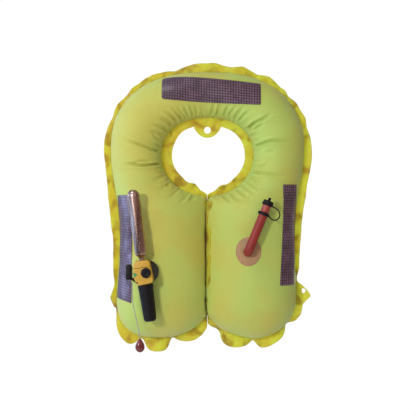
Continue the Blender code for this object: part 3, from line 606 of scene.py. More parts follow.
def outer_edge(t, side):
    """Outer weld line at station t, from a lobe's tip (0) to the top centre (1)."""
    if t <= CAP_END:
        angle = t / CAP_END * math.pi / 2
        power = 2 / (LEFT_CAP_POWER if side < 0 else 2.0)
        x = LOBE_TIP[0] + (side_half_width(OUTER_CAP_Z, side) - LOBE_TIP[0]) * math.sin(angle) ** power
        return x, OUTER_CAP_Z + (LOBE_TIP[1] - OUTER_CAP_Z) * max(0.0, math.cos(angle)) ** power
    if t <= SHOULDER:
        z = OUTER_CAP_Z + (SHOULDER_Z - OUTER_CAP_Z) * (t - CAP_END) / (SHOULDER - CAP_END)
        return side_half_width(z, side), z
    angle = (t - SHOULDER) / (1 - SHOULDER) * math.pi / 2
    power = 2 / TOP_POWER
    x = SHOULDER_X * max(0.0, math.cos(angle)) ** power
    return x, SHOULDER_Z + (TOP_Z - SHOULDER_Z) * math.sin(angle) ** power


def neck_edge(part):
    first = -math.pi / 2 + math.asin(SLIT_HALF / NECK_HALF_WIDTH)
    angle = first + (math.pi / 2 - first) * part
    if angle < 0:
        return NECK_HALF_WIDTH * math.cos(angle), NECK_Z + NECK_DROP * math.sin(angle)
    power = 2 / NECK_POWER
    return NECK_HALF_WIDTH * max(0.0, math.cos(angle)) ** power, NECK_Z + NECK_RISE * math.sin(angle) ** power


def sharp_inner(t):
    if t <= CAP_END:
        angle = t / CAP_END * math.pi / 2
        x = LOBE_TIP[0] + (SLIT_HALF - LOBE_TIP[0]) * math.sin(angle)
        return x, INNER_CAP_Z + (LOBE_TIP[1] - INNER_CAP_Z) * math.cos(angle)
    if t <= CUSP:
        return SLIT_HALF, INNER_CAP_Z + (neck_edge(0.0)[1] - INNER_CAP_Z) * (t - CAP_END) / (CUSP - CAP_END)
    return neck_edge((t - CUSP) / (1 - CUSP))


def inner_edge(t):
    """Inner weld line, with the corner where the slit meets the neck rounded off."""
    low, high = CUSP - CUSP_ROUND[0], CUSP + CUSP_ROUND[1]
    if not low < t < high:
        return sharp_inner(t)
    part = (t - low) / (high - low)
    a, b, c = sharp_inner(low), sharp_inner(CUSP), sharp_inner(high)
    return tuple((1 - part) ** 2 * p + 2 * part * (1 - part) * q + part * part * r for p, q, r in zip(a, b, c))


ACROSS = 60
STOPS = np.concatenate([
    CAP_END * np.linspace(0.02, 1, 40, endpoint=False),
    np.linspace(CAP_END, CUSP - CUSP_ROUND[0], 60, endpoint=False),
    np.linspace(CUSP - CUSP_ROUND[0], CUSP + CUSP_ROUND[1], 16, endpoint=False),
    np.linspace(CUSP + CUSP_ROUND[1], 1, 261),
])


def plane_grid(side):
    """(rows, cols, 2) points of the weld plane inside one half's outline, outer weld first."""
    outer = np.array([outer_edge(t, side) for t in STOPS])
    inner = np.array([inner_edge(t) for t in STOPS])
    angle = np.linspace(0, math.pi, ACROSS + 1)
    share = (1 - np.cos(angle)) / 2
    return outer[:, None] + (inner - outer)[:, None] * share[None, :, None]


SOLVER_STEPS = 900
SOLVER_SHARE = 1e-9


def membrane(grid):
    """Rise of a film blown up over the outline: Poisson's equation by conjugate gradients, zero on the welds."""
    rows, cols = grid.shape[:2]
    index = np.arange(rows * cols).reshape(rows, cols)
    a, b, c, d = index[:-1, :-1], index[1:, :-1], index[1:, 1:], index[:-1, 1:]
    tris = np.concatenate([np.stack([a, b, c], -1).reshape(-1, 3), np.stack([a, c, d], -1).reshape(-1, 3)])
    p = grid.reshape(-1, 2)
    sides = [p[tris[:, (k + 2) % 3]] - p[tris[:, (k + 1) % 3]] for k in range(3)]
    double = np.abs(sides[0][:, 0] * sides[1][:, 1] - sides[0][:, 1] * sides[1][:, 0]) + 1e-9
    count = rows * cols
    mass = np.bincount(tris.ravel(), np.repeat(double / 6, 3), count)
    ends, weights = [], []
    for k in range(3):
        ends.append(tris[:, [(k + 1) % 3, (k + 2) % 3]])
        weights.append(-(sides[(k + 1) % 3] * sides[(k + 2) % 3]).sum(1) / (2 * double))
    ends, weights = np.concatenate(ends), np.concatenate(weights)
    free = np.ones((rows, cols), bool)
    free[:, 0] = free[:, -1] = free[0] = False
    free = free.ravel()
    i, j = ends.T
    diagonal = np.bincount(i, weights, count) + np.bincount(j, weights, count)

    def apply(x):
        return diagonal * x - np.bincount(i, weights * x[j], count) - np.bincount(j, weights * x[i], count)

    x = np.zeros(count)
    left = np.where(free, mass, 0.0)
    scaled = np.where(free, left / diagonal, 0.0)
    way, old = scaled.copy(), float(left @ scaled)
    first = old
    for _ in range(SOLVER_STEPS):
        forward = np.where(free, apply(way), 0.0)
        step = old / float(way @ forward)
        x += step * way
        left -= step * forward
        scaled = np.where(free, left / diagonal, 0.0)
        new = float(left @ scaled)
        if new < first * SOLVER_SHARE:
            break
        way = scaled + new / old * way
        old = new
    return np.sqrt(2 * np.maximum(x, 0)).reshape(rows, cols)


# Height of the crown for the half width, its change along the outline, and how its unevenness is smoothed.
LOBE_CROWN = 0.69
NECK_CROWN = 0.88
CROWN_FROM = 0.45
CROWN_SPAN = 0.35
TIP_ROWS = 30
CROWN_PASSES = 60
RIM_MERGE = 0.45
INFLATOR = Vector((-140.0, -94.0, -320.5))
NUT = (6.0, 0.0, -0.7)
MANIFOLD_AT = (-133.96, -320.38)
MANIFOLD_RISE = 69.2
MANIFOLD_R = 27.5
PATCH_AT = (91.5, -276.0)
PATCH_HALF = (28.5, 32.5)
ORAL_FOOT = Vector((90.0, -88.0, -277.0))
ORAL_TUBE_R = 10.1
ORAL_BORE_R = 7.5
PATCH_HOLE_R = 10.4

# Creases round the neck: place (degrees round CREASE_Z), start and end from the weld, depth, half width, bend.
CREASE_Z = -68.5
CREASES = [
    (170, 3, 90, 4.0, 2.3, -6), (186, 2, 92, 4.2, 2.1, -3), (182, 24, 80, 1.6, 2.2, 4),
    (151, 4, 40, 2.2, 3.0, 5), (144, 5, 42, 2.0, 3.0, 5), (157, 8, 30, 1.4, 2.6, -3),
    (136, 4, 40, 2.4, 3.0, 3), (129, 4, 44, 2.6, 3.0, 3), (123, 5, 40, 2.2, 2.8, 2), (118, 4, 38, 2.4, 2.8, 2),
    (113, 5, 36, 2.2, 2.6, 2), (107, 4, 36, 2.0, 2.6, 1), (103, 5, 34, 1.8, 2.6, 1),
    (84, 4, 36, 1.8, 2.6, -1), (78, 5, 36, 2.2, 2.6, -1), (74, 4, 34, 2.0, 2.4, -1), (69, 5, 36, 2.2, 2.6, -2),
    (63, 4, 34, 2.0, 2.6, -2), (56, 5, 46, 2.2, 2.8, -2), (50, 6, 44, 2.0, 2.8, -2),
    (37, 4, 72, 4.6, 2.4, -3), (31, 14, 50, 1.6, 3.0, 4), (16, 3, 98, 4.2, 2.4, -6), (6, 22, 52, 1.4, 3.2, 2),
    (-9, 4, 38, 1.8, 3.0, 5), (-15, 3, 90, 2.6, 2.4, 4), (-23, 3, 40, 2.4, 2.8, 2), (-30, 3, 42, 2.6, 2.8, 2),
    (-37, 3, 42, 2.4, 2.8, 2), (-45, 3, 38, 2.2, 2.8, 2), (-54, 3, 36, 2.0, 2.8, 2), (-64, 3, 34, 1.8, 3.0, 2),
    (201, 4, 36, 1.6, 3.0, 1), (212, 4, 34, 1.4, 3.0, 1), (226, 4, 36, 1.6, 3.0, -1), (240, 3, 38, 2.0, 3.0, -2),
    (250, 3, 34, 1.8, 3.0, -2),
]
BACK_CREASES = [(20, 3, 80, 4, 3.4, -5), (160, 3, 76, 4, 3.4, 6)]
SMALL_CREASE_SPANS = [(100, 160), (160, 200), (45, 90), (-35, 40), (-75, -30), (200, 262)]
# Short puckers beside the slit: height, length, depth, half width.
LEFT_PUCKERS = [(-196, 26, 2.0, 3.5), (-236, 22, 1.6, 3.0), (-286, 24, 1.8, 3.0), (-352, 34, 2.4, 3.2),
                (-364, 26, 1.8, 2.8), (-391, 30, 2.2, 3.0), (-404, 24, 1.6, 3.0)]
RIGHT_PUCKERS = [(-186, 24, 2.0, 3.5), (-221, 30, 3.0, 3.2), (-276, 30, 3.0, 3.2), (-331, 24, 1.8, 3.0),
                 (-371, 38, 3.2, 3.4), (-405, 26, 2.0, 3.2)]
# Where the lobes start to touch above the slit's foot and stop below its top: height, length of the change.
TOUCH_FOOT = (-444, 24)
TOUCH_TOP = (-174, 20)
SLIT_LEAN = -4.4
# How the front and the back press together: room left for the borders, swell and its reach, left and right.
FRONT_ROOM, FRONT_SWELL, FRONT_REACH = 1.6, (6.0, 11.0), (12.0, 17.0)
BACK_ROOM, BACK_SWELL, BACK_REACH = 0.25, 11.0, 32.0


def valley(x):
    """Cross-section of a crease: a narrow groove in a wide soft hollow, between two shoulders."""
    shoulders = 0.5 * np.exp(-(((np.abs(x) - 2.7) / 1.4) ** 2))
    return -0.95 * np.exp(-x * x) - 0.3 * np.exp(-((x / 2.6) ** 2)) + shoulders


def neck_folds(angle, away_mm, near, local, creases):
    """Push along the surface normal from the creases; away_mm is the distance from the neck weld in its plane."""
    made = np.zeros_like(away_mm)
    for place, start, end, depth, width, bend in creases:
        away = np.clip((away_mm - start) / (end - start), 0, 1)
        centre = place + bend * away * away + 0.5 * np.sin(away_mm / 9.0 + place)
        off = (angle - centre + 180) % 360 - 180
        across = np.radians(off) * local
        fade = smooth((away_mm - start) / 4) * (1 - smooth((away - 0.45) / 0.55))
        made += 1.2 * depth * fade * valley(across / (0.78 * width * (1 + 0.6 * away))) * near
    return made


def random_creases(count, low, high, seed, spans):
    """Small creases spread at random over spans of angle."""
    draw = np.random.default_rng(seed)
    made = []
    for _ in range(count):
        first, last = spans[draw.integers(len(spans))]
        ranges = ((first, last), (1, 6), (low, high), (0.5, 1.3), (1.8, 2.8), (-3, 3))
        made.append(tuple(draw.uniform(*limits) for limits in ranges))
    return made


def wave_field(x, z, seed, sizes):
    """Soft unevenness from a few crossing waves of given (wavelength, height)."""
    draw = np.random.default_rng(seed)
    made = np.zeros_like(x)
    for wavelength, height in sizes:
        for _ in range(3):
            turn, phase = draw.uniform(0, 2 * math.pi, 2)
            made += height * np.sin((x * math.cos(turn) + z * math.sin(turn)) * 2 * math.pi / wavelength + phase) / 2
    return made


def grid_normals(points):
    """Unit normals of a (rows, cols, 3) grid."""
    along = np.gradient(points, axis=0)
    across = np.gradient(points, axis=1)
    normal = np.cross(along, across)
    size = np.linalg.norm(normal, axis=2, keepdims=True)
    return normal / np.maximum(size, 1e-9)


def slit_centre(depth):
    """Where the lobes touch in front, which bends to the left with the depth towards the viewer."""
    return SLIT_LEAN * smooth((depth - 5) / 20)


def press_slit(points, front):
    """Swell the lobes towards each other until they touch along the slit, leaving room for its flanges in front."""
    x, y, z = points[..., 0].copy(), np.abs(points[..., 1]), points[..., 2]
    side = np.where(x < 0, -1.0, 1.0)
    along = smooth((z - TOUCH_FOOT[0]) / TOUCH_FOOT[1]) * (1 - smooth((z - TOUCH_TOP[0]) / TOUCH_TOP[1]))
    if front:
        centre, wall = slit_centre(y), FRONT_ROOM
        swell, decay = np.where(side > 0, *FRONT_SWELL[::-1]), np.where(side > 0, *FRONT_REACH[::-1])
    else:
        centre, wall = 0.7 * np.sin(y / 7.0), BACK_ROOM
        swell, decay = BACK_SWELL, BACK_REACH
    near = np.exp(-np.maximum(np.abs(x) - SLIT_HALF, 0) / decay)
    swell = swell * near * along * smooth(y / 3)
    moved = side * np.maximum(side * (x - centre) - swell, wall) + centre
    points[..., 0] = x + (moved - x) * np.where(along > 0, 1.0, 0.0) * smooth(y / 1.5)


def blown_half(side):
    """Grid of one half of a sheet, blown up to its crown between the welds."""
    grid = plane_grid(side)
    rise = membrane(grid)
    crown = LOBE_CROWN + (NECK_CROWN - LOBE_CROWN) * smooth((STOPS - CROWN_FROM) / CROWN_SPAN)
    wanted = crown * np.linalg.norm(grid[:, 0] - grid[:, -1], axis=1) / 2
    ratio = wanted / np.maximum(rise[:, ACROSS // 2], 1e-6)
    ratio[:TIP_ROWS] = ratio[TIP_ROWS]
    for _ in range(CROWN_PASSES):
        ratio[1:-1] = (ratio[:-2] + 2 * ratio[1:-1] + ratio[2:]) / 4
    rise = rise * ratio[:, None]
    return np.stack([side * grid[..., 0], -rise, grid[..., 1]], -1)


def beyond_manifold(x, z, length):
    """Share, from 0 at the manifold's rim to 1 a length (in millimetres) away from it."""
    gap = np.hypot(x - MANIFOLD_AT[0], z - MANIFOLD_AT[1])
    return smooth((gap - MANIFOLD_R + 1) / length)


def neck_push(x, z, rho, around, front):
    """Creases and fine ripple round the neck; rho is the distance along the surface from the inner weld."""
    above = z > NECK_Z
    power = np.where(above, NECK_POWER, 2.0)
    height = np.where(above, NECK_RISE, NECK_DROP)
    radius = (np.abs(x / NECK_HALF_WIDTH) ** power + np.abs((z - NECK_Z) / height) ** power) ** (1 / power)
    away = np.hypot(x, z - NECK_Z) * (1 - 1 / np.maximum(radius, 1e-6))
    angle = np.degrees(np.arctan2(z - CREASE_Z, x)) % 360
    local = np.hypot(x, z - CREASE_Z)
    turn = np.radians(angle)
    creases = CREASES if front else random_creases(30, 26, 60, 5, [(-80, 262)]) + BACK_CREASES
    small = random_creases(60, 8, 26, 3 if front else 4, SMALL_CREASE_SPANS)
    push = neck_folds(angle, away, around, local, creases + small)
    ripple = np.sin(turn * 47 + 2.2 * np.sin(turn * 5)) + 0.8 * np.sin(turn * 71 + 1.7 * np.sin(turn * 3 + 1))
    return push + around * 0.55 * ripple * np.exp(-np.maximum(away, 0) / 12) * smooth(rho / 6)


def chamber_sheet(front):
    """Full grid of one blown sheet, left lobe's tip to right lobe's tip, in millimetres."""
    left, right = blown_half(-1), blown_half(1)
    points = np.concatenate([left, right[-2::-1]])
    press_slit(points, front)
    x, z = points[..., 0].copy(), points[..., 2].copy()
    if front:
        points[..., 1] += (-MANIFOLD_RISE - points[..., 1]) * (1 - beyond_manifold(x, z, 30))
    normal = grid_normals(points)
    normal = normal * np.sign((normal * np.array([0, -1, 0])).sum(2)[:, ACROSS // 2].mean())
    steps = np.linalg.norm(np.diff(points, axis=1), axis=2)
    start = np.zeros((len(points), 1))
    rho = np.concatenate([np.cumsum(steps[:, ::-1], axis=1)[:, ::-1], start], axis=1)
    out = np.concatenate([start, np.cumsum(steps, axis=1)], axis=1)
    station = np.concatenate([STOPS, STOPS[-2::-1]])
    push = neck_push(x, z, rho, smooth((station - CUSP + 0.004) / 0.012)[:, None], front)
    for x_side, puckers in ((-1, LEFT_PUCKERS), (1, RIGHT_PUCKERS)):
        at_slit = ((station > CAP_END * 0.8) & (station < CUSP + 0.02))[:, None] & (np.sign(x) == x_side)
        for height, long, depth, width in puckers:
            slope = height + 0.12 * rho * (1 if front else -1)
            fade = smooth((rho - 1) / 5) * (1 - smooth((rho - 0.35 * long) / (0.65 * long)))
            push += at_slit * depth * fade * valley((z - slope) / (width * (1 + rho / 60)))
    run = arc_length(points[:, 0])[:, None]
    gather = np.exp(-out / 5) * (0.6 * np.sin(run / 3.1 + 2 * np.sin(run / 21)) + 0.5 * np.sin(run / 5.3 + 1.3))
    push += gather * smooth(out / 1.5)
    edge = smooth(np.minimum(rho, out) / 18)
    push += edge * wave_field(x, z, 8 if front else 9, [(190, 1.1), (95, 0.8), (48, 0.35)])
    calm = beyond_manifold(x, z, 12) if front else 1.0
    points = points + normal * (push * calm)[..., None]
    points[:, 0, 1] = points[:, -1, 1] = -GAP / 2
    points[0, :, 1] = points[-1, :, 1] = -GAP / 2
    if not front:
        points[..., 1] *= -1
    return points


SHEETS = {"front": chamber_sheet(True), "back": chamber_sheet(False)}


def chamber():
    front, back = SHEETS["front"], SHEETS["back"]
    rows, cols = front.shape[:2]
    faces = grid_faces(rows, cols) + grid_faces(rows, cols, rows * cols, flip=True)
    mesh = mesh_of("chamber", np.concatenate([front, back]) * MM, faces)
    bm = bmesh.new()
    bm.from_mesh(mesh)
    rim = [v for v in bm.verts if v.is_boundary]
    bmesh.ops.remove_doubles(bm, verts=rim, dist=RIM_MERGE * MM)
    bmesh.ops.recalc_face_normals(bm, faces=bm.faces)
    bm.to_mesh(mesh)
    bm.free()
    made = link("chamber", mesh, LOOKS["panel"])
    riding(made, BLADDER, ("front_panel", "back_panel"))


chamber()


def surface_tree(sheet):
    rows, cols = sheet.shape[:2]
    points = [tuple(p) for p in sheet.reshape(-1, 3)]
    return BVHTree.FromPolygons(points, grid_faces(rows, cols))


FRONT_TREE = surface_tree(SHEETS["front"])


def front_y(x, z):
    """Front surface's y at a point of the weld plane, in millimetres."""
    hit = FRONT_TREE.ray_cast(Vector((x, -300.0, z)), Vector((0, 1, 0)))
    return hit[0].y if hit[0] else 0.0


# ---------------------------------------------------------------- weld flanges

SHEET = 0.9
STRIDE = 1.6
BORDER_COLS = 9
# Outer border of one half, along the weld from the top centre: place, visible width, lean (front positive).
RIGHT_BORDER = [
    (0, 20.5, 3), (18, 21.5, 5), (34, 17, -3), (50, 15, -6), (61, 14.5, 9), (78, 20, 3), (96, 15.5, -5),
    (112, 11.5, -10), (120, 11.5, 8), (140, 16.5, 4), (158, 13, -6), (172, 10, -9), (181, 10.5, 7),
    (196, 7, -10), (206, 6.5, 9),
    (222, 11, 4), (236, 11, -5), (256, 14, 4), (276, 11.5, -6), (292, 14.5, 3), (320, 18, 2), (350, 18.5, 3),
    (380, 16.5, 2), (408, 15, 4), (432, 17, 3), (462, 16, 4), (482, 17, -3), (493, 15.5, 6), (512, 16.5, -4),
    (526, 14.5, 7), (545, 12, 9), (575, 9, 11), (600, 7.5, 11), (618, 4, -12), (630, 3.5, -12), (650, 14, -4),
    (684, 17, -3), (700, 17.5, 3), (716, 13.5, -6), (726, 5, -18), (735, 1.5, -24), (744, 10, -16), (756, 18, -6),
    (772, 21, 2), (790, 24.5, 4), (804, 24, -4), (811, 15, -18), (816, 7, -25), (822, 12, -20), (830, 19, -8),
    (842, 24, 3), (858, 29.5, 4), (872, 29, 2), (882, 24, -10), (892, 10, -22), (902, 8, -20),
    (916, 13, -10), (932, 14, 4), (954, 12, 6),
]
LEFT_BORDER = [
    (0, 20.5, 3), (14, 20.5, 4), (30, 20, -2), (46, 16.5, -5), (60, 12.5, -8), (73, 9, -12), (88, 12, -6),
    (104, 12.5, -4),
    (122, 14, 4), (140, 13.5, -3), (158, 11.5, -6), (176, 11, 5), (192, 8, -9), (206, 8.5, -5), (224, 11, 4),
    (240, 10, -4), (252, 8, -8), (272, 11.5, -3), (300, 15, 2), (330, 16, 3), (352, 14.5, 2), (376, 14.5, 3),
    (400, 15.5, 2), (432, 19, 3), (470, 20.5, 4), (505, 20.5, 5), (528, 16.5, 4), (560, 14.5, 5), (590, 12.5, 6),
    (616, 9, 8), (634, 5, 10), (650, 9, 8), (664, 13, 8), (680, 9, -4), (692, 4, -12), (704, 6, -12),
    (714, 10, -6), (728, 17, 2), (744, 24, 5), (760, 29, 3),
    (770, 25, -6), (778, 11, -20), (785, 8, -24), (793, 20, -14), (800, 29, -3), (812, 32, 3), (828, 31.5, 2),
    (838, 27, -6), (844, 12, -22), (849, 4, -26), (854, 6, -24), (864, 13, -12), (880, 20, 3), (896, 24, 5),
    (912, 23, 3),
    (926, 19, -4), (940, 12, -12), (960, 9, -10),
]


def even(points, step):
    """Polyline resampled at even steps, with its run."""
    points = np.asarray(points, float)
    run = arc_length(points)
    goal = np.linspace(0, run[-1], max(3, int(run[-1] / step)))
    return np.stack([np.interp(goal, run, points[:, k]) for k in range(points.shape[1])], 1), goal


def soft_interp(goal, table, column, blur):
    """Value from a control table, softened over a few millimetres."""
    spots = np.array([row[0] for row in table], float)
    values = np.array([row[column] for row in table], float)
    return sum(np.interp(goal + shift * blur, spots, values) for shift in (-1.5, -0.75, 0, 0.75, 1.5)) / 5


def border_half(side):
    """Weld polyline of one half from the top centre to the slit's foot, in the weld plane."""
    stops = np.linspace(1, 0, 700)
    line = [outer_edge(t, side) for t in stops]
    line += [inner_edge(t) for t in np.linspace(0.0, CAP_END, 120)[1:]]
    line = np.array(line) * np.array([side, 1])
    return even(line, STRIDE)


def weld_normals(line, side):
    """Unit vectors square to a weld polyline, in the weld plane."""
    along = np.gradient(line, axis=0)
    along /= np.linalg.norm(along, axis=1, keepdims=True)
    return np.stack([-along[:, 1], along[:, 0]], 1) * side


def border_rows(side, table):
    """Points of one half of the outer border, in rows from the weld to the free edge."""
    line, run = border_half(side)
    out = weld_normals(line, side)
    out[0] = (0, 1)
    width = soft_interp(run, table, 1, 2.4)
    lean = soft_interp(run, table, 2, 2.0)
    fine = 0.9 * np.sin(run / 4.1 + 3 * np.sin(run / 37)) + 0.7 * np.sin(run / 6.7 + side)
    rows = []
    shares = np.linspace(0, 1, BORDER_COLS)
    for k in range(len(line)):
        row = []
        for share in shares:
            bow = math.sin(math.pi * share) * 0.10 * lean[k]
            reach = width[k] * share
            if out[k][0] * side < 0:
                reach = min(reach, max(0.0, (abs(line[k][0]) - 0.8) / max(1e-6, -out[k][0] * side)))
            spot = line[k] + out[k] * reach
            forward = lean[k] * share ** 1.35 + bow + fine[k] * share * share
            row.append((spot[0], -forward, spot[1]))
        rows.append(row)
    return np.array(rows)


def outer_border():
    left = border_rows(-1, LEFT_BORDER)
    right = border_rows(1, RIGHT_BORDER)
    left[0] = right[0] = (left[0] + right[0]) / 2
    points = np.concatenate([left[::-1], right[1:]])
    rows, cols = points.shape[:2]
    run = np.arange(rows) * STRIDE
    across = np.linspace(0, 25, cols)
    uv = np.stack([np.repeat(run[:, None], cols, 1), np.repeat(across[None], rows, 0)], -1) * MM
    made = link("border_flange", mesh_of("border_flange", points * MM, grid_faces(rows, cols), uv), LOOKS["flange"])
    thicken(made, SHEET * MM)
    riding(made, BLADDER, "outer_weld_flange")


NECK_FLANGE = {-1: 24.5, 1: 20.0}
NECK_FLANGE_TOP = 18.0
NECK_TAB_HALF = 31.0
NECK_TAB_DEPTH = 28.0
CUSP_FLANGE = 8.0
EYELET_R = 7.75


def neck_ring():
    """Ring inside the neck weld, with the eyelet's tab at its top and waves towards the slit."""
    stops = np.linspace(CUSP - CUSP_ROUND[0], 1, 900)
    half, run = even([inner_edge(t) for t in stops], 1.3)
    halves = []
    for side in (-1, 1):
        line = half * np.array([side, 1])
        out = weld_normals(line, side)
        out[-1] = (0, -1)
        rows = []
        for k, point in enumerate(line):
            off = abs(point[0])
            rise = float(smooth((point[1] + 20) / 45))
            width = NECK_FLANGE[side] + (NECK_FLANGE_TOP - NECK_FLANGE[side]) * rise
            if point[1] < NECK_Z:
                width = CUSP_FLANGE + (width - CUSP_FLANGE) * float(smooth(off / 40))
            low = float(smooth((-118 - point[1]) / 28))
            wave = low * (4.4 * math.sin(off / 5.2 + 1.2 * side) + 2.2 * math.sin(off / 2.9 + side))
            row = []
            for share in np.linspace(0, 1, BORDER_COLS):
                spot = point + out[k] * width * share * (1 - 0.09 * low * (1 + math.sin(off / 7.5)) * share)
                x, z = float(spot[0]), float(spot[1])
                if point[1] > NECK_Z:
                    bulge = max(0.0, 1 - (abs(x) / NECK_TAB_HALF) ** 2.2) ** 0.8
                    z -= NECK_TAB_DEPTH * bulge * share
                elif side * x < 0.7:
                    x = side * 0.7
                ease = 0.25 * math.sin(run[k] / 9.0) * share
                row.append((x, -wave * share ** 1.2 - ease - 4.0 * low * share, z))
            rows.append(row)
        halves.append(np.array(rows))
    points = np.concatenate([halves[0], halves[1][-2::-1]])
    rows, cols = points.shape[:2]
    made = link("neck_flange", mesh_of("neck_flange", points * MM, grid_faces(rows, cols)), LOOKS["flange"])
    thicken(made, SHEET * MM)
    bake(made)
    tool = lathe("eyelet_tool", [(0, -5), (EYELET_R, -5), (EYELET_R, 5), (0, 5)], TO_FRONT, LOOKS["flange"], 56, 0.0)
    carve(made, tool)
    bake(made)
    drop(tool)
    crisp(made, 50)
    riding(made, BLADDER, "neck_weld_flange")


def slit_border(name, node, side, width, table):
    """Border of one lobe pressed between the lobes, its free edge folded out over that lobe."""
    heights = np.arange(INNER_CAP_Z + 3, -163, 1.6)
    rows = []
    for z in heights:
        reach = width * float(soft_interp(np.array([z]), table, 1, 2.0)[0])
        lift = float(soft_interp(np.array([z]), table, 2, 2.0)[0])
        path = [(float(slit_centre(deep)) + side * 0.75, -deep) for deep in np.arange(1.0, 19.0, 1.5)]
        row = [(*path[0], z)]
        front_x = path[-1][0]
        for probe in np.arange(0.3, 26, 0.6):
            x = front_x + side * probe
            path.append((x, min(front_y(x + side * 0.95, z) - 0.8, path[-1][1])))
        path = np.array(path)
        run = arc_length(path)
        for share in np.linspace(0, 1, 12)[1:]:
            goal = reach * share
            px, py = np.interp(goal, run, path[:, 0]), np.interp(goal, run, path[:, 1])
            row.append((px, py - lift * share ** 3, z + 0.25 * math.sin(z / 3.3) * share))
        rows.append(row)
    points = np.array(rows)
    made = link(name, mesh_of(name, points * MM, grid_faces(*points.shape[:2])), LOOKS["flange"])
    thicken(made, SHEET * MM)
    riding(made, BLADDER, node)


# Slit borders by height: share of the width that shows, lift of the free edge.
RIGHT_SLIT = [(-410, 0.6, 0), (-360, 0.66, 0), (-356, 1.0, 1.4), (-340, 1.12, 2.6), (-320, 1.04, 2.2),
              (-300, 1.14, 2.8), (-286, 1.12, 2.0), (-279, 0.78, 0.4), (-270, 1.08, 2.2), (-248, 1.12, 2.8),
              (-226, 1.1, 2.0), (-220, 0.74, 0.4), (-200, 0.9, 1.0), (-184, 0.88, 1.0), (-176, 1.12, 2.2),
              (-160, 1.0, 1.6)]
LEFT_SLIT = [(-410, 0.5, 0), (-360, 0.7, 0), (-250, 0.8, 0), (-195, 0.9, 0), (-182, 1.3, 0.8), (-160, 1.35, 0.8)]


def side_tab(name, node, side, root, turn, corners, hole, bend):
    """Tab with its eyelet: rings of points from the hole out to the rounded outline."""
    outline = np.array(fillet(corners, 3.2, 6))
    outline, _ = even(np.concatenate([outline, outline[:1]]), 1.2)
    centre = np.array(hole[:2])
    toward = outline - centre
    angle = np.unwrap(np.arctan2(toward[:, 1], toward[:, 0]))
    if angle[-1] < angle[0]:
        outline, angle = outline[::-1], angle[::-1]
    goal = np.linspace(angle[0], angle[0] + 2 * math.pi, 97)[:-1]
    radius = np.interp(goal, angle, np.linalg.norm(outline - centre, axis=1))
    rows = []
    for share in np.linspace(0, 1, 9):
        r = hole[2] + (radius - hole[2]) * share
        rows.append(np.stack([centre[0] + r * np.cos(goal), centre[1] + r * np.sin(goal)], 1))
    flat = np.array(rows)
    u, v = flat[..., 0], flat[..., 1]
    curl = bend * (u / 34) ** 2 + 1.4 * np.sin(v / 7.0) * np.clip(u / 30, 0, 1)
    x = u * math.cos(turn) + curl * math.sin(turn)
    y = u * math.sin(turn) - curl * math.cos(turn)
    points = np.stack([root[0] + side * x, root[1] + y, root[2] + v], -1)
    points = np.swapaxes(points, 0, 1)
    made = link(name, mesh_of(name, points * MM, grid_faces(*points.shape[:2], closed=True)), LOOKS["flange"])
    thicken(made, SHEET * MM)
    riding(made, BLADDER, node)


# ---------------------------------------------------------------- tapes and patch


def laid_strip(name, node, edges, lift, count, edge_round):
    """Tape laid over the front surface; edges(s) gives its two edges' (x, z) at a share s of its length."""
    rows, cols = count
    fine = 48
    points = []
    for i in range(rows):
        s = i / (rows - 1)
        a, b = [np.array(p, float) for p in edges(s)]
        share = np.linspace(0, 1, fine)[:, None]
        line = a + (b - a) * share
        depth = np.array([front_y(p[0], p[1]) for p in line])
        points.append(np.stack([line[:, 0], depth, line[:, 1]], 1))
    points = np.array(points)
    for axis in (0, 1):
        for _ in range(5):
            swapped = np.swapaxes(points, 0, axis)
            swapped[1:-1] = (swapped[:-2] + 2 * swapped[1:-1] + swapped[2:]) / 4
    normal = grid_normals(points)
    if normal[..., 1].mean() > 0:
        normal = -normal
    points = points + normal * lift
    middle = points[:, fine // 2]
    lengths = arc_length(middle)
    made = np.zeros((rows, cols, 3))
    place = np.zeros((rows, cols, 2))
    for i in range(rows):
        arc = arc_length(points[i])
        end = min(lengths[i], lengths[-1] - lengths[i])
        inset = edge_round - math.sqrt(max(0.0, edge_round ** 2 - max(0.0, edge_round - end) ** 2))
        goal = np.linspace(inset, arc[-1] - inset, cols)
        made[i] = np.stack([np.interp(goal, arc, points[i][:, k]) for k in range(3)], 1)
        place[i, :, 0], place[i, :, 1] = lengths[i] * MM, goal * MM
    piece = link(name, mesh_of(name, made * MM, grid_faces(rows, cols), place), LOOKS["tape"])
    thicken(piece, 0.5 * MM)
    riding(piece, BLADDER, node)


def across_top(upper, lower, bow):
    """Edges of the tape across the top, the upper one bowed most near its left end."""
    a, b, c, d = [np.array(p, float) for p in (*upper, *lower)]

    def edges(s):
        rise = np.array([0, bow * math.sin(math.pi * s ** 0.53)])
        return a + (b - a) * s + rise, c + (d - c) * s - 0.2 * rise

    return edges


def down_flank(outer, inner):
    """Edges of a tape down one lobe, each given by its (x, z) points from the top."""

    def at(line, s):
        z = line[0][1] + (line[-1][1] - line[0][1]) * s
        return float(np.interp(-z, [-p[1] for p in line], [p[0] for p in line])), z

    return lambda s: (at(outer, s), at(inner, s))


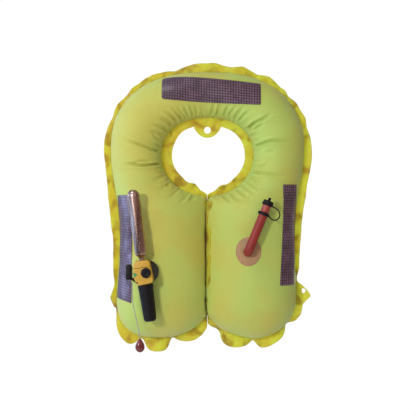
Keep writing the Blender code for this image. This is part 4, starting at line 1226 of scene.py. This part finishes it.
def oral_patch():
    """Round weld patch of the oral tube, with its pressed rings, laid on the panel."""
    count, rings = 96, 40
    points = []
    for k in range(rings):
        share = k / (rings - 1)
        row = []
        for i in range(count):
            a = 2 * math.pi * i / count
            inner = np.array([ORAL_FOOT.x + PATCH_HOLE_R * math.cos(a), ORAL_FOOT.z + PATCH_HOLE_R * math.sin(a)])
            outer = np.array([PATCH_AT[0] + PATCH_HALF[0] * math.cos(a), PATCH_AT[1] + PATCH_HALF[1] * math.sin(a)])
            x, z = inner + (outer - inner) * share
            groove = 0.32 * math.cos(share * math.pi * 2 * 4.5) * (1 if share < 0.92 else 0)
            rim = -0.9 * smooth((share - 0.93) / 0.07)
            collar = 1.6 * (1 - smooth(share / 0.12))
            row.append((x, front_y(x, z) - 1.1 - groove - rim - collar, z))
        points.append(row)
    points = np.array(points)
    mesh = mesh_of("oral_patch", np.swapaxes(points, 0, 1) * MM, grid_faces(count, rings, closed=True))
    made = link("oral_patch", mesh, LOOKS["tan"])
    thicken(made, SHEET * MM, -1.0)
    riding(made, BLADDER, "oral_tube_flange")


outer_border()
neck_ring()
slit_border("right_slit_border", "right_slit_flange", 1, 31, RIGHT_SLIT)
slit_border("left_slit_border", "left_slit_flange", -1, 17, LEFT_SLIT)
TAB_CORNERS = [(-3, 24), (3, 20), (16, 10.5), (27, -1), (33.5, -10), (35.3, -15.5), (27, -23.5), (16, -35), (4, -36),
               (-3, -30)]
TAB_HOLE = (18, -3, 5.6)
side_tab("right_tab", "right_eyelet_tab", 1, (202.5, 0, -366.5), 0.30, TAB_CORNERS, TAB_HOLE, 8)
side_tab("left_tab", "left_eyelet_tab", -1, (-206, 0, -373), 1.05, TAB_CORNERS, TAB_HOLE, 4)
TOP_TAPE = across_top([(-102.7, 112.5), (120.2, 102)], [(-102.7, 67), (120.2, 53)], 8.0)
LEFT_TAPE = down_flank([(-204.2, -150), (-203.0, -170), (-198.5, -253), (-199.4, -300), (-205.6, -382.5)],
                       [(-171.0, -150), (-168.5, -253), (-170.0, -392)])
RIGHT_TAPE = down_flank([(202.0, -126), (202.5, -161), (198.6, -253), (196.0, -353)],
                        [(170.0, -126), (170.8, -161), (167.6, -253), (162.4, -353)])
for place, edges, rows, edge_round in (("top", TOP_TAPE, 240, 3.5), ("left", LEFT_TAPE, 220, 1.0),
                                       ("right", RIGHT_TAPE, 220, 1.0)):
    laid_strip(place + "_tape", place + "_reflective_tape", edges, 0.9, (rows, 40), edge_round)
oral_patch()


# ---------------------------------------------------------------- oral inflator

ORAL_LEAN = math.radians(22)
ORAL = Matrix.Translation(ORAL_FOOT * MM) @ Matrix.Rotation(ORAL_LEAN, 4, "Y")


def oral_inflator():
    route = [Vector((0, 18.6, 0))] + [
        Vector((0, 12 * (1 - math.sin(a)), 12 * (1 - math.cos(a)))) for a in np.linspace(0, math.pi / 2, 14)
    ] + [Vector((0, 0, z)) for z in (30, 60, 80, 96)]
    path = [ORAL @ (p * MM) for p in route]
    walls = [pipe(name, path, ring_section(radius * MM, 48), LOOKS["red_tube"], up=(1, 0, 0), caps=False)
             for name, radius in (("oral_pipe", ORAL_TUBE_R), ("oral_bore", ORAL_BORE_R))]
    lip = [(7.5, 95.0), (7.7, 96.0), (9.9, 96.0), (10.2, 95.4), (10.2, 93), (7.5, 93)]
    rim = lathe("oral_rim", lip, ORAL, LOOKS["red_tube"], 48, 0.3)
    riding(join("oral_pipe_piece", [*walls, rim]), BLADDER, "oral_tube")
    body = [(7.2, 84), (7.2, 96.3), (9.4, 96.3), (9.4, 117), (8.6, 118), (6.0, 118), (6.0, 104), (3.4, 102.5),
            (3.4, 98), (5.4, 95), (5.4, 84)]
    riding(lathe("valve_housing", body, ORAL, LOOKS["red_valve"], 56, 0.5), BLADDER, "oral_valve_body")
    cap = [(9.8, 111.5), (11.6, 111.5), (12.6, 113), (12.6, 116), (11.6, 117), (11.6, 121.5), (10.6, 122.8),
           (4.0, 123.2), (3.2, 124), (3.2, 129), (2.2, 130), (0, 130), (0, 119.2), (9.8, 119.2)]
    riding(lathe("cap_piece", cap, ORAL, LOOKS["rubber"], 64, 0.7), "dust_cap", "dust_cap")
    ring = [(10.8, 88.5), (12.4, 88.5), (13.2, 89.4), (13.2, 94.2), (12.4, 95.1), (10.8, 95.1)]
    riding(lathe("strap_band", ring, ORAL, LOOKS["rubber"], 64, 0.5), BLADDER, "strap_ring")
    route = [(12.0, 113.7), (18, 113.5), (26, 111.5), (32.5, 105.5), (34.6, 98), (32, 90.5), (25.5, 87), (18, 88.4),
             (12.6, 91.4)]
    line = [ORAL @ (p * MM) for p in spline([(x, 0, z) for x, z in route], 56)]
    a, b = 2.2 * MM, 1.35 * MM
    oval = [(b * math.cos(t), a * math.copysign(abs(math.sin(t)) ** 0.6, math.sin(t)))
            for t in np.linspace(0, 2 * math.pi, 17)[:-1]]
    strap = pipe("strap_loop", line, oval, LOOKS["rubber"])
    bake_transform(strap)
    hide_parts("cap_strap")


oral_inflator()


# ---------------------------------------------------------------- gas inflator

GAS = Matrix.Translation(INFLATOR * MM) @ Matrix.Rotation(INFLATOR_LEAN, 4, "Y")
FACING = GAS @ Matrix.Translation(Vector(NUT) * MM) @ TO_FRONT
BODY_OUTLINE = [(-19.5, 21.8), (-16, 26), (-6, 26.6), (12, 26), (15.5, 23.5), (17, 11), (19.3, -19), (16.5, -24),
                (-12, -26.5), (-18.5, -21), (-23.2, -4)]
PLUG_PLACE = GAS @ Matrix.Translation(Vector((-16.6, 0, -20)) * MM) @ TO_FRONT
INDICATOR = (-17.2, -2.2)
# Turned holes of the body and the collar: name, (r, z) profile, place, segments.
HOLES = {
    "body_shell": [
        ("plug_hole", [(0, 18), (2.2, 18), (2.2, 30), (0, 30)], PLUG_PLACE, 32),
        ("stem_hole", [(0, -30), (3.5, -30), (3.5, 30), (0, 30)], FACING, 32),
        ("pin_hole", [(0, -60), (4.7, -60), (4.7, -5), (1.75, -5), (1.75, 20), (0, 20)], GAS, 32),
    ],
    "collar_shell": [("neck_hole", [(0, 5), (4.2, 5), (4.2, 16), (6.6, 16), (6.6, 40), (0, 40)], GAS, 40)],
}


def indicator_shape(reach):
    """Triangle that points to the right."""
    left = INDICATOR[0] - reach * 0.7
    return [(left, INDICATOR[1] + reach), (INDICATOR[0] + reach, INDICATOR[1]), (left, INDICATOR[1] - reach)]


def block(name, low, high, look, place=GAS):
    outline = [(low[0], low[2]), (high[0], low[2]), (high[0], high[2]), (low[0], high[2])]
    return plate(name, outline, -high[1], -low[1], place, look)


def housing():
    """Moulded body and the collar above its groove."""
    outline = rounded(BODY_OUTLINE, 2.4)
    cuts = []
    for name, node in (("body_shell", "inflator_body"), ("collar_shell", "bayonet_collar")):
        made = plate(name, outline, -20, 20, GAS, LOOKS["yellow"], 2.6, 5)
        lower = name == "body_shell"
        slab = block("slab", (-60, -60, 11.1 if lower else -60), (60, 60, 60 if lower else 12.0), LOOKS["yellow"])
        cuts.append(slab)
        carve(made, slab)
        tools = []
        if lower:
            tools.append(block("slot", (-40, -4.4, -24.5), (-2, 4.4, -9), LOOKS["yellow"]))
            tools.append(plate("window", indicator_shape(5.55), 18.4, 30, GAS, LOOKS["yellow"]))
        for hole, profile, place, segments in HOLES[name]:
            tools.append(lathe(hole, profile, place, LOOKS["yellow"], segments, 0.0))
        for tool in tools:
            carve(made, tool)
        bake(made)
        drop(*tools)
        parts = [made]
        if lower:
            parts.append(lathe("boss", [(4.9, -36), (11.2, -36), (12, -35.2), (12, -22), (4.9, -22)], GAS,
                               LOOKS["yellow"], 48, 0.4))
            rib = rounded([(-12, 7.4), (12.5, 7.4), (12.5, 8.8), (-12, 8.8)], 0.6)
            parts.append(plate("rib", rib, 19.6, 20.6, GAS, LOOKS["yellow"], 0.3, 2))
        else:
            for z in (14.5, 17.6, 20.7):
                rib = rounded([(-14, z), (10.5, z), (10.5, z + 1.2), (-14, z + 1.2)], 0.55)
                parts.append(plate("rib", rib, 19.4, 20.45, GAS, LOOKS["yellow"], 0.3, 2))
        whole = crisp(join(name + "_piece", parts), 36)
        riding(whole, BLADDER, node)
    drop(*cuts)


def lever():
    """Firing lever: a gripped head outside the body, its arm and the nose that lifts the pin."""
    place = GAS @ Matrix.Translation(Vector((-14.8, 0, -17.6)) * MM)
    outline = [(-19, 32), (-13.5, 32), (-12.6, 10), (-8.0, 6.8), (-3.4, 4.6), (3.4, 2.6), (9.8, -3.6), (12.2, -3.6),
               (12.2, -6.1), (3.0, -4.6), (-4.5, -3.2), (-11, 1.2), (-19, 10)]
    arm = plate("arm", rounded(outline, 1.1, 3), -4, 4, place, LOOKS["black"], 0.5, 2)
    eye = lathe("eye", [(0, -10), (1.6, -10), (1.6, 10), (0, 10)], place @ TO_FRONT, LOOKS["black"], 32, 0.0)
    carve(arm, eye)
    bake(arm)
    drop(eye)
    held = place @ Matrix.Translation(Vector((-17.4, 0, 22.2)) * MM) @ Matrix.Rotation(-INFLATOR_LEAN, 4, "Y")
    half = [(4.2, 17.0), (6.7, 13.8), (6.7, -13.4), (4.2, -16.8)]
    grip = rounded(half + [(-x, z) for x, z in reversed(half)], 3.4, 6)
    head = plate("head", grip, -8.1, 8.1, held, LOOKS["black"], 2.0, 4)
    parts = [arm, head]
    for k in range(5):
        z = 4.6 * (k - 2) - 1
        bar = rounded([(-4.8, z), (4.8, z), (4.8, z + 2.0), (-4.8, z + 2.0)], 0.9)
        parts.append(plate("bar", bar, 7.6, 8.7, held, LOOKS["black"], 0.4, 2))
    riding(crisp(join("lever_piece", parts), 36), "firing_lever", "firing_lever")


def fluted(depth, count, power, low, high):
    """Shallow upright grooves round a turned piece, between two heights."""
    return lambda a, z: -depth * max(0.0, math.cos(a * count)) ** power if low < z < high else 0.0


def gas_inflator():
    housing()
    lever()
    disc = [(0, -24.6), (25.2, -24.6), (26.0, -23.8), (26.0, -22.4), (24.9, -21.5), (22.4, -21.2), (21.5, -21.9),
            (19.5, -21.9), (18.3, -21.2), (9, -21.1), (7.5, -20.9), (3.2, -20.9), (3.2, 24.6), (0, 24.6)]
    riding(lathe("manifold_disc", disc, FACING, LOOKS["grey"], 88, 0.5), BLADDER, "manifold_flange")
    nut = [(3.6, 21.3), (10.4, 21.3), (11.2, 22.2), (11.2, 24.9), (10.2, 26.3), (7.4, 26.9), (6.4, 26.4), (3.6, 26.4)]
    flutes = lathe("manifold_nut_ring", nut, FACING, LOOKS["black"], 96, 0.5,
                   wobble=fluted(0.45, 12, 3, -math.inf, 26))
    plug = lathe("nut_top", [(0, 25.1), (5.9, 25.1), (5.9, 26.0), (4.8, 26.5), (2.4, 26.2), (0, 26.2)], FACING,
                 LOOKS["black"], 48, 0.3)
    riding(crisp(join("manifold_nut_piece", [flutes, plug]), 40), BLADDER, "manifold_nut")
    outer = [(6.2, 18.7), (6.2, 30), (6.6, 32), (8.6, 35.5), (12.2, 39), (13.7, 43), (14.0, 47), (14.0, 169)]
    dome = [(14.0 * math.cos(a), 169 + 15 * math.sin(a)) for a in np.linspace(0, math.pi / 2, 16)[1:-1]]
    hollow = [(0, 180), (8.4, 177), (11.8, 169), (11.8, 46), (8.5, 39), (3.2, 33), (3.2, 18.7)]
    riding(lathe("cylinder_shell", outer + dome + [(0, 184)] + hollow, GAS, LOOKS["steel"], 96, 0.8), "co2_cylinder",
           "co2_cylinder")
    cap = [(14.6, -27.2), (16.4, -27.2), (17.2, -28.4), (17.2, -35.0), (16.4, -36.2), (16.2, -44), (14.4, -98),
           (13.4, -105.2), (10.8, -108.4), (0, -109.4), (0, -105.4), (11, -104.8), (12.0, -100), (14.2, -40)]
    knurl, ribs = fluted(0.35, 20, 4, -36, -28), fluted(0.22, 30, 6, -96, -46)
    shell = lathe("cap_shell", cap, GAS, LOOKS["black"], 120, 0.9, wobble=lambda a, z: knurl(a, z) + ribs(a, z))
    riding(shell, "sensing_cap", "sensing_cap")
    arrow = rounded(indicator_shape(5.2), 0.8)
    window = plate("indicator_window", arrow, 18.8, 20.7, GAS, LOOKS["green"], 0.4, 3)
    riding(crisp(window), BLADDER, "status_indicator")
    dot = [(0, 18.4), (1.9, 18.4), (1.9, 20.2), (1.4, 20.7), (0, 20.9)]
    riding(lathe("plug_dot", dot, PLUG_PLACE, LOOKS["red"], 32, 0.2), BLADDER, "body_plug")


gas_inflator()


# ---------------------------------------------------------------- finishes of the carried-over nodes

CARRIED = {
    "oral_valve_poppet": "black", "oral_valve_spring": "spring_steel", "manifold_rear_gasket": "rubber",
    "manifold_front_gasket": "rubber", "lever_pivot_pin": "spring_steel", "piercing_pin": "spring_steel",
    "pin_return_spring": "spring_steel", "cylinder_seat_gasket": "rubber", "cylinder_seal_disc": "brass",
    "cap_seal_ring": "rubber", "sensing_cartridge": "white", "soluble_tablet": "white", "striker": "black",
    "striker_spring": "spring_steel",
}
for node, slot in CARRIED.items():
    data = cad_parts[node].data
    data.materials.clear()
    data.materials.append(LOOKS[slot])


# ---------------------------------------------------------------- studio


def area_light(name, spot, aim, size, power, colour):
    data = bpy.data.lights.new(name, "AREA")
    data.shape = "DISK"
    data.size = size
    data.energy = power
    data.color = colour
    made = bpy.data.objects.new(name, data)
    made.location = spot
    made.rotation_euler = (Vector(aim) - Vector(spot)).to_track_quat("-Z", "Y").to_euler()
    bpy.context.scene.collection.objects.link(made)


def sky_colour(tree):
    """Sky tinted from left to right and pale behind the object, and plain white where it is looked at."""

    def ranged(value, low, high):
        made = tree.nodes.new("ShaderNodeMapRange")
        made.inputs["From Min"].default_value = low
        made.inputs["From Max"].default_value = high
        tree.links.new(value, made.inputs["Value"])
        return made.outputs["Result"]

    split = tree.nodes.new("ShaderNodeSeparateXYZ")
    tree.links.new(tree.nodes.new("ShaderNodeTexCoord").outputs["Generated"], split.inputs[0])
    ramp = tree.nodes.new("ShaderNodeValToRGB")
    tree.links.new(ranged(split.outputs["X"], -1, 1), ramp.inputs["Fac"])
    ramp.color_ramp.elements.new(0.5)
    for element, (spot, colour) in zip(ramp.color_ramp.elements, SKY):
        element.position = spot
        element.color = (*colour, 1)
    behind = ranged(split.outputs["Y"], PALE_FROM, PALE_TO)
    looked_at = tree.nodes.new("ShaderNodeLightPath").outputs["Is Camera Ray"]
    colour = ramp.outputs["Color"]
    for share in (behind, looked_at):
        mix = tree.nodes.new("ShaderNodeMix")
        mix.data_type = "RGBA"
        ends = [s for s in mix.inputs if s.enabled]
        tree.links.new(share, ends[0])
        tree.links.new(colour, ends[1])
        ends[2].default_value = (*PAPER_WHITE, 1)
        colour = next(s for s in mix.outputs if s.enabled)
    return colour


def studio():
    corners = [(-1, -1), (1, -1), (1, 1), (-1, 1)]
    points = [(FLOOR_HALF * x, FLOOR_HALF * y, FLOOR_Z) for x, y in corners]
    mesh = mesh_of("studio_floor", points, [(0, 1, 2, 3)])
    paper = Look("studio_paper", FLOOR_COLOUR, 0.9)
    dark, light = tints(FLOOR_COLOUR, 0.98, 1.02)
    paper.colour(paper.ramp(paper.noise(3), [(0.3, dark), (0.7, light)]))
    paper.set(paper.shader, "Emission Color", (1, 1, 1, 1))
    paper.set(paper.shader, "Emission Strength", 0.12)
    link("studio_floor", mesh, paper.made)
    scene = bpy.context.scene
    scene.world = bpy.data.worlds.new("studio")
    scene.world.use_nodes = True
    tree = scene.world.node_tree
    sky = tree.nodes["Background"]
    tree.links.new(sky_colour(tree), sky.inputs["Color"])
    sky.inputs["Strength"].default_value = 1.0
    for name, spot, size, power, colour in LIGHTS:
        area_light(name, spot, (0, 0, -0.2), size, power, colour)
    scene.view_settings.view_transform = "Standard"
    scene.view_settings.look = "None"


FLOOR_Z = -1.3
FLOOR_HALF = 2.8
FLOOR_COLOUR = (0.80, 0.80, 0.79)
PAPER_WHITE = (1.02, 1.02, 1.02)
SKY = [(0.0, (0.35, 0.60, 0.95)), (0.5, (0.40, 0.28, 0.28)), (1.0, (0.36, 0.25, 0.22))]
PALE_FROM = 0.45
PALE_TO = 0.85
# Name, place, width, watts, colour.
LIGHTS = [
    ("key", (-1.35, -2.5, 0.45), 0.35, 38, (1.0, 0.87, 0.75)),
    ("side", (-2.5, 0.0, 0.3), 1.5, 30, (0.52, 0.60, 1.0)),
    ("upper", (-0.9, -1.0, 1.8), 1.0, 10, (1.0, 0.95, 0.90)),
    ("fill", (1.5, -2.1, 1.1), 1.6, 5, (1.0, 0.78, 0.60)),
]
studio()
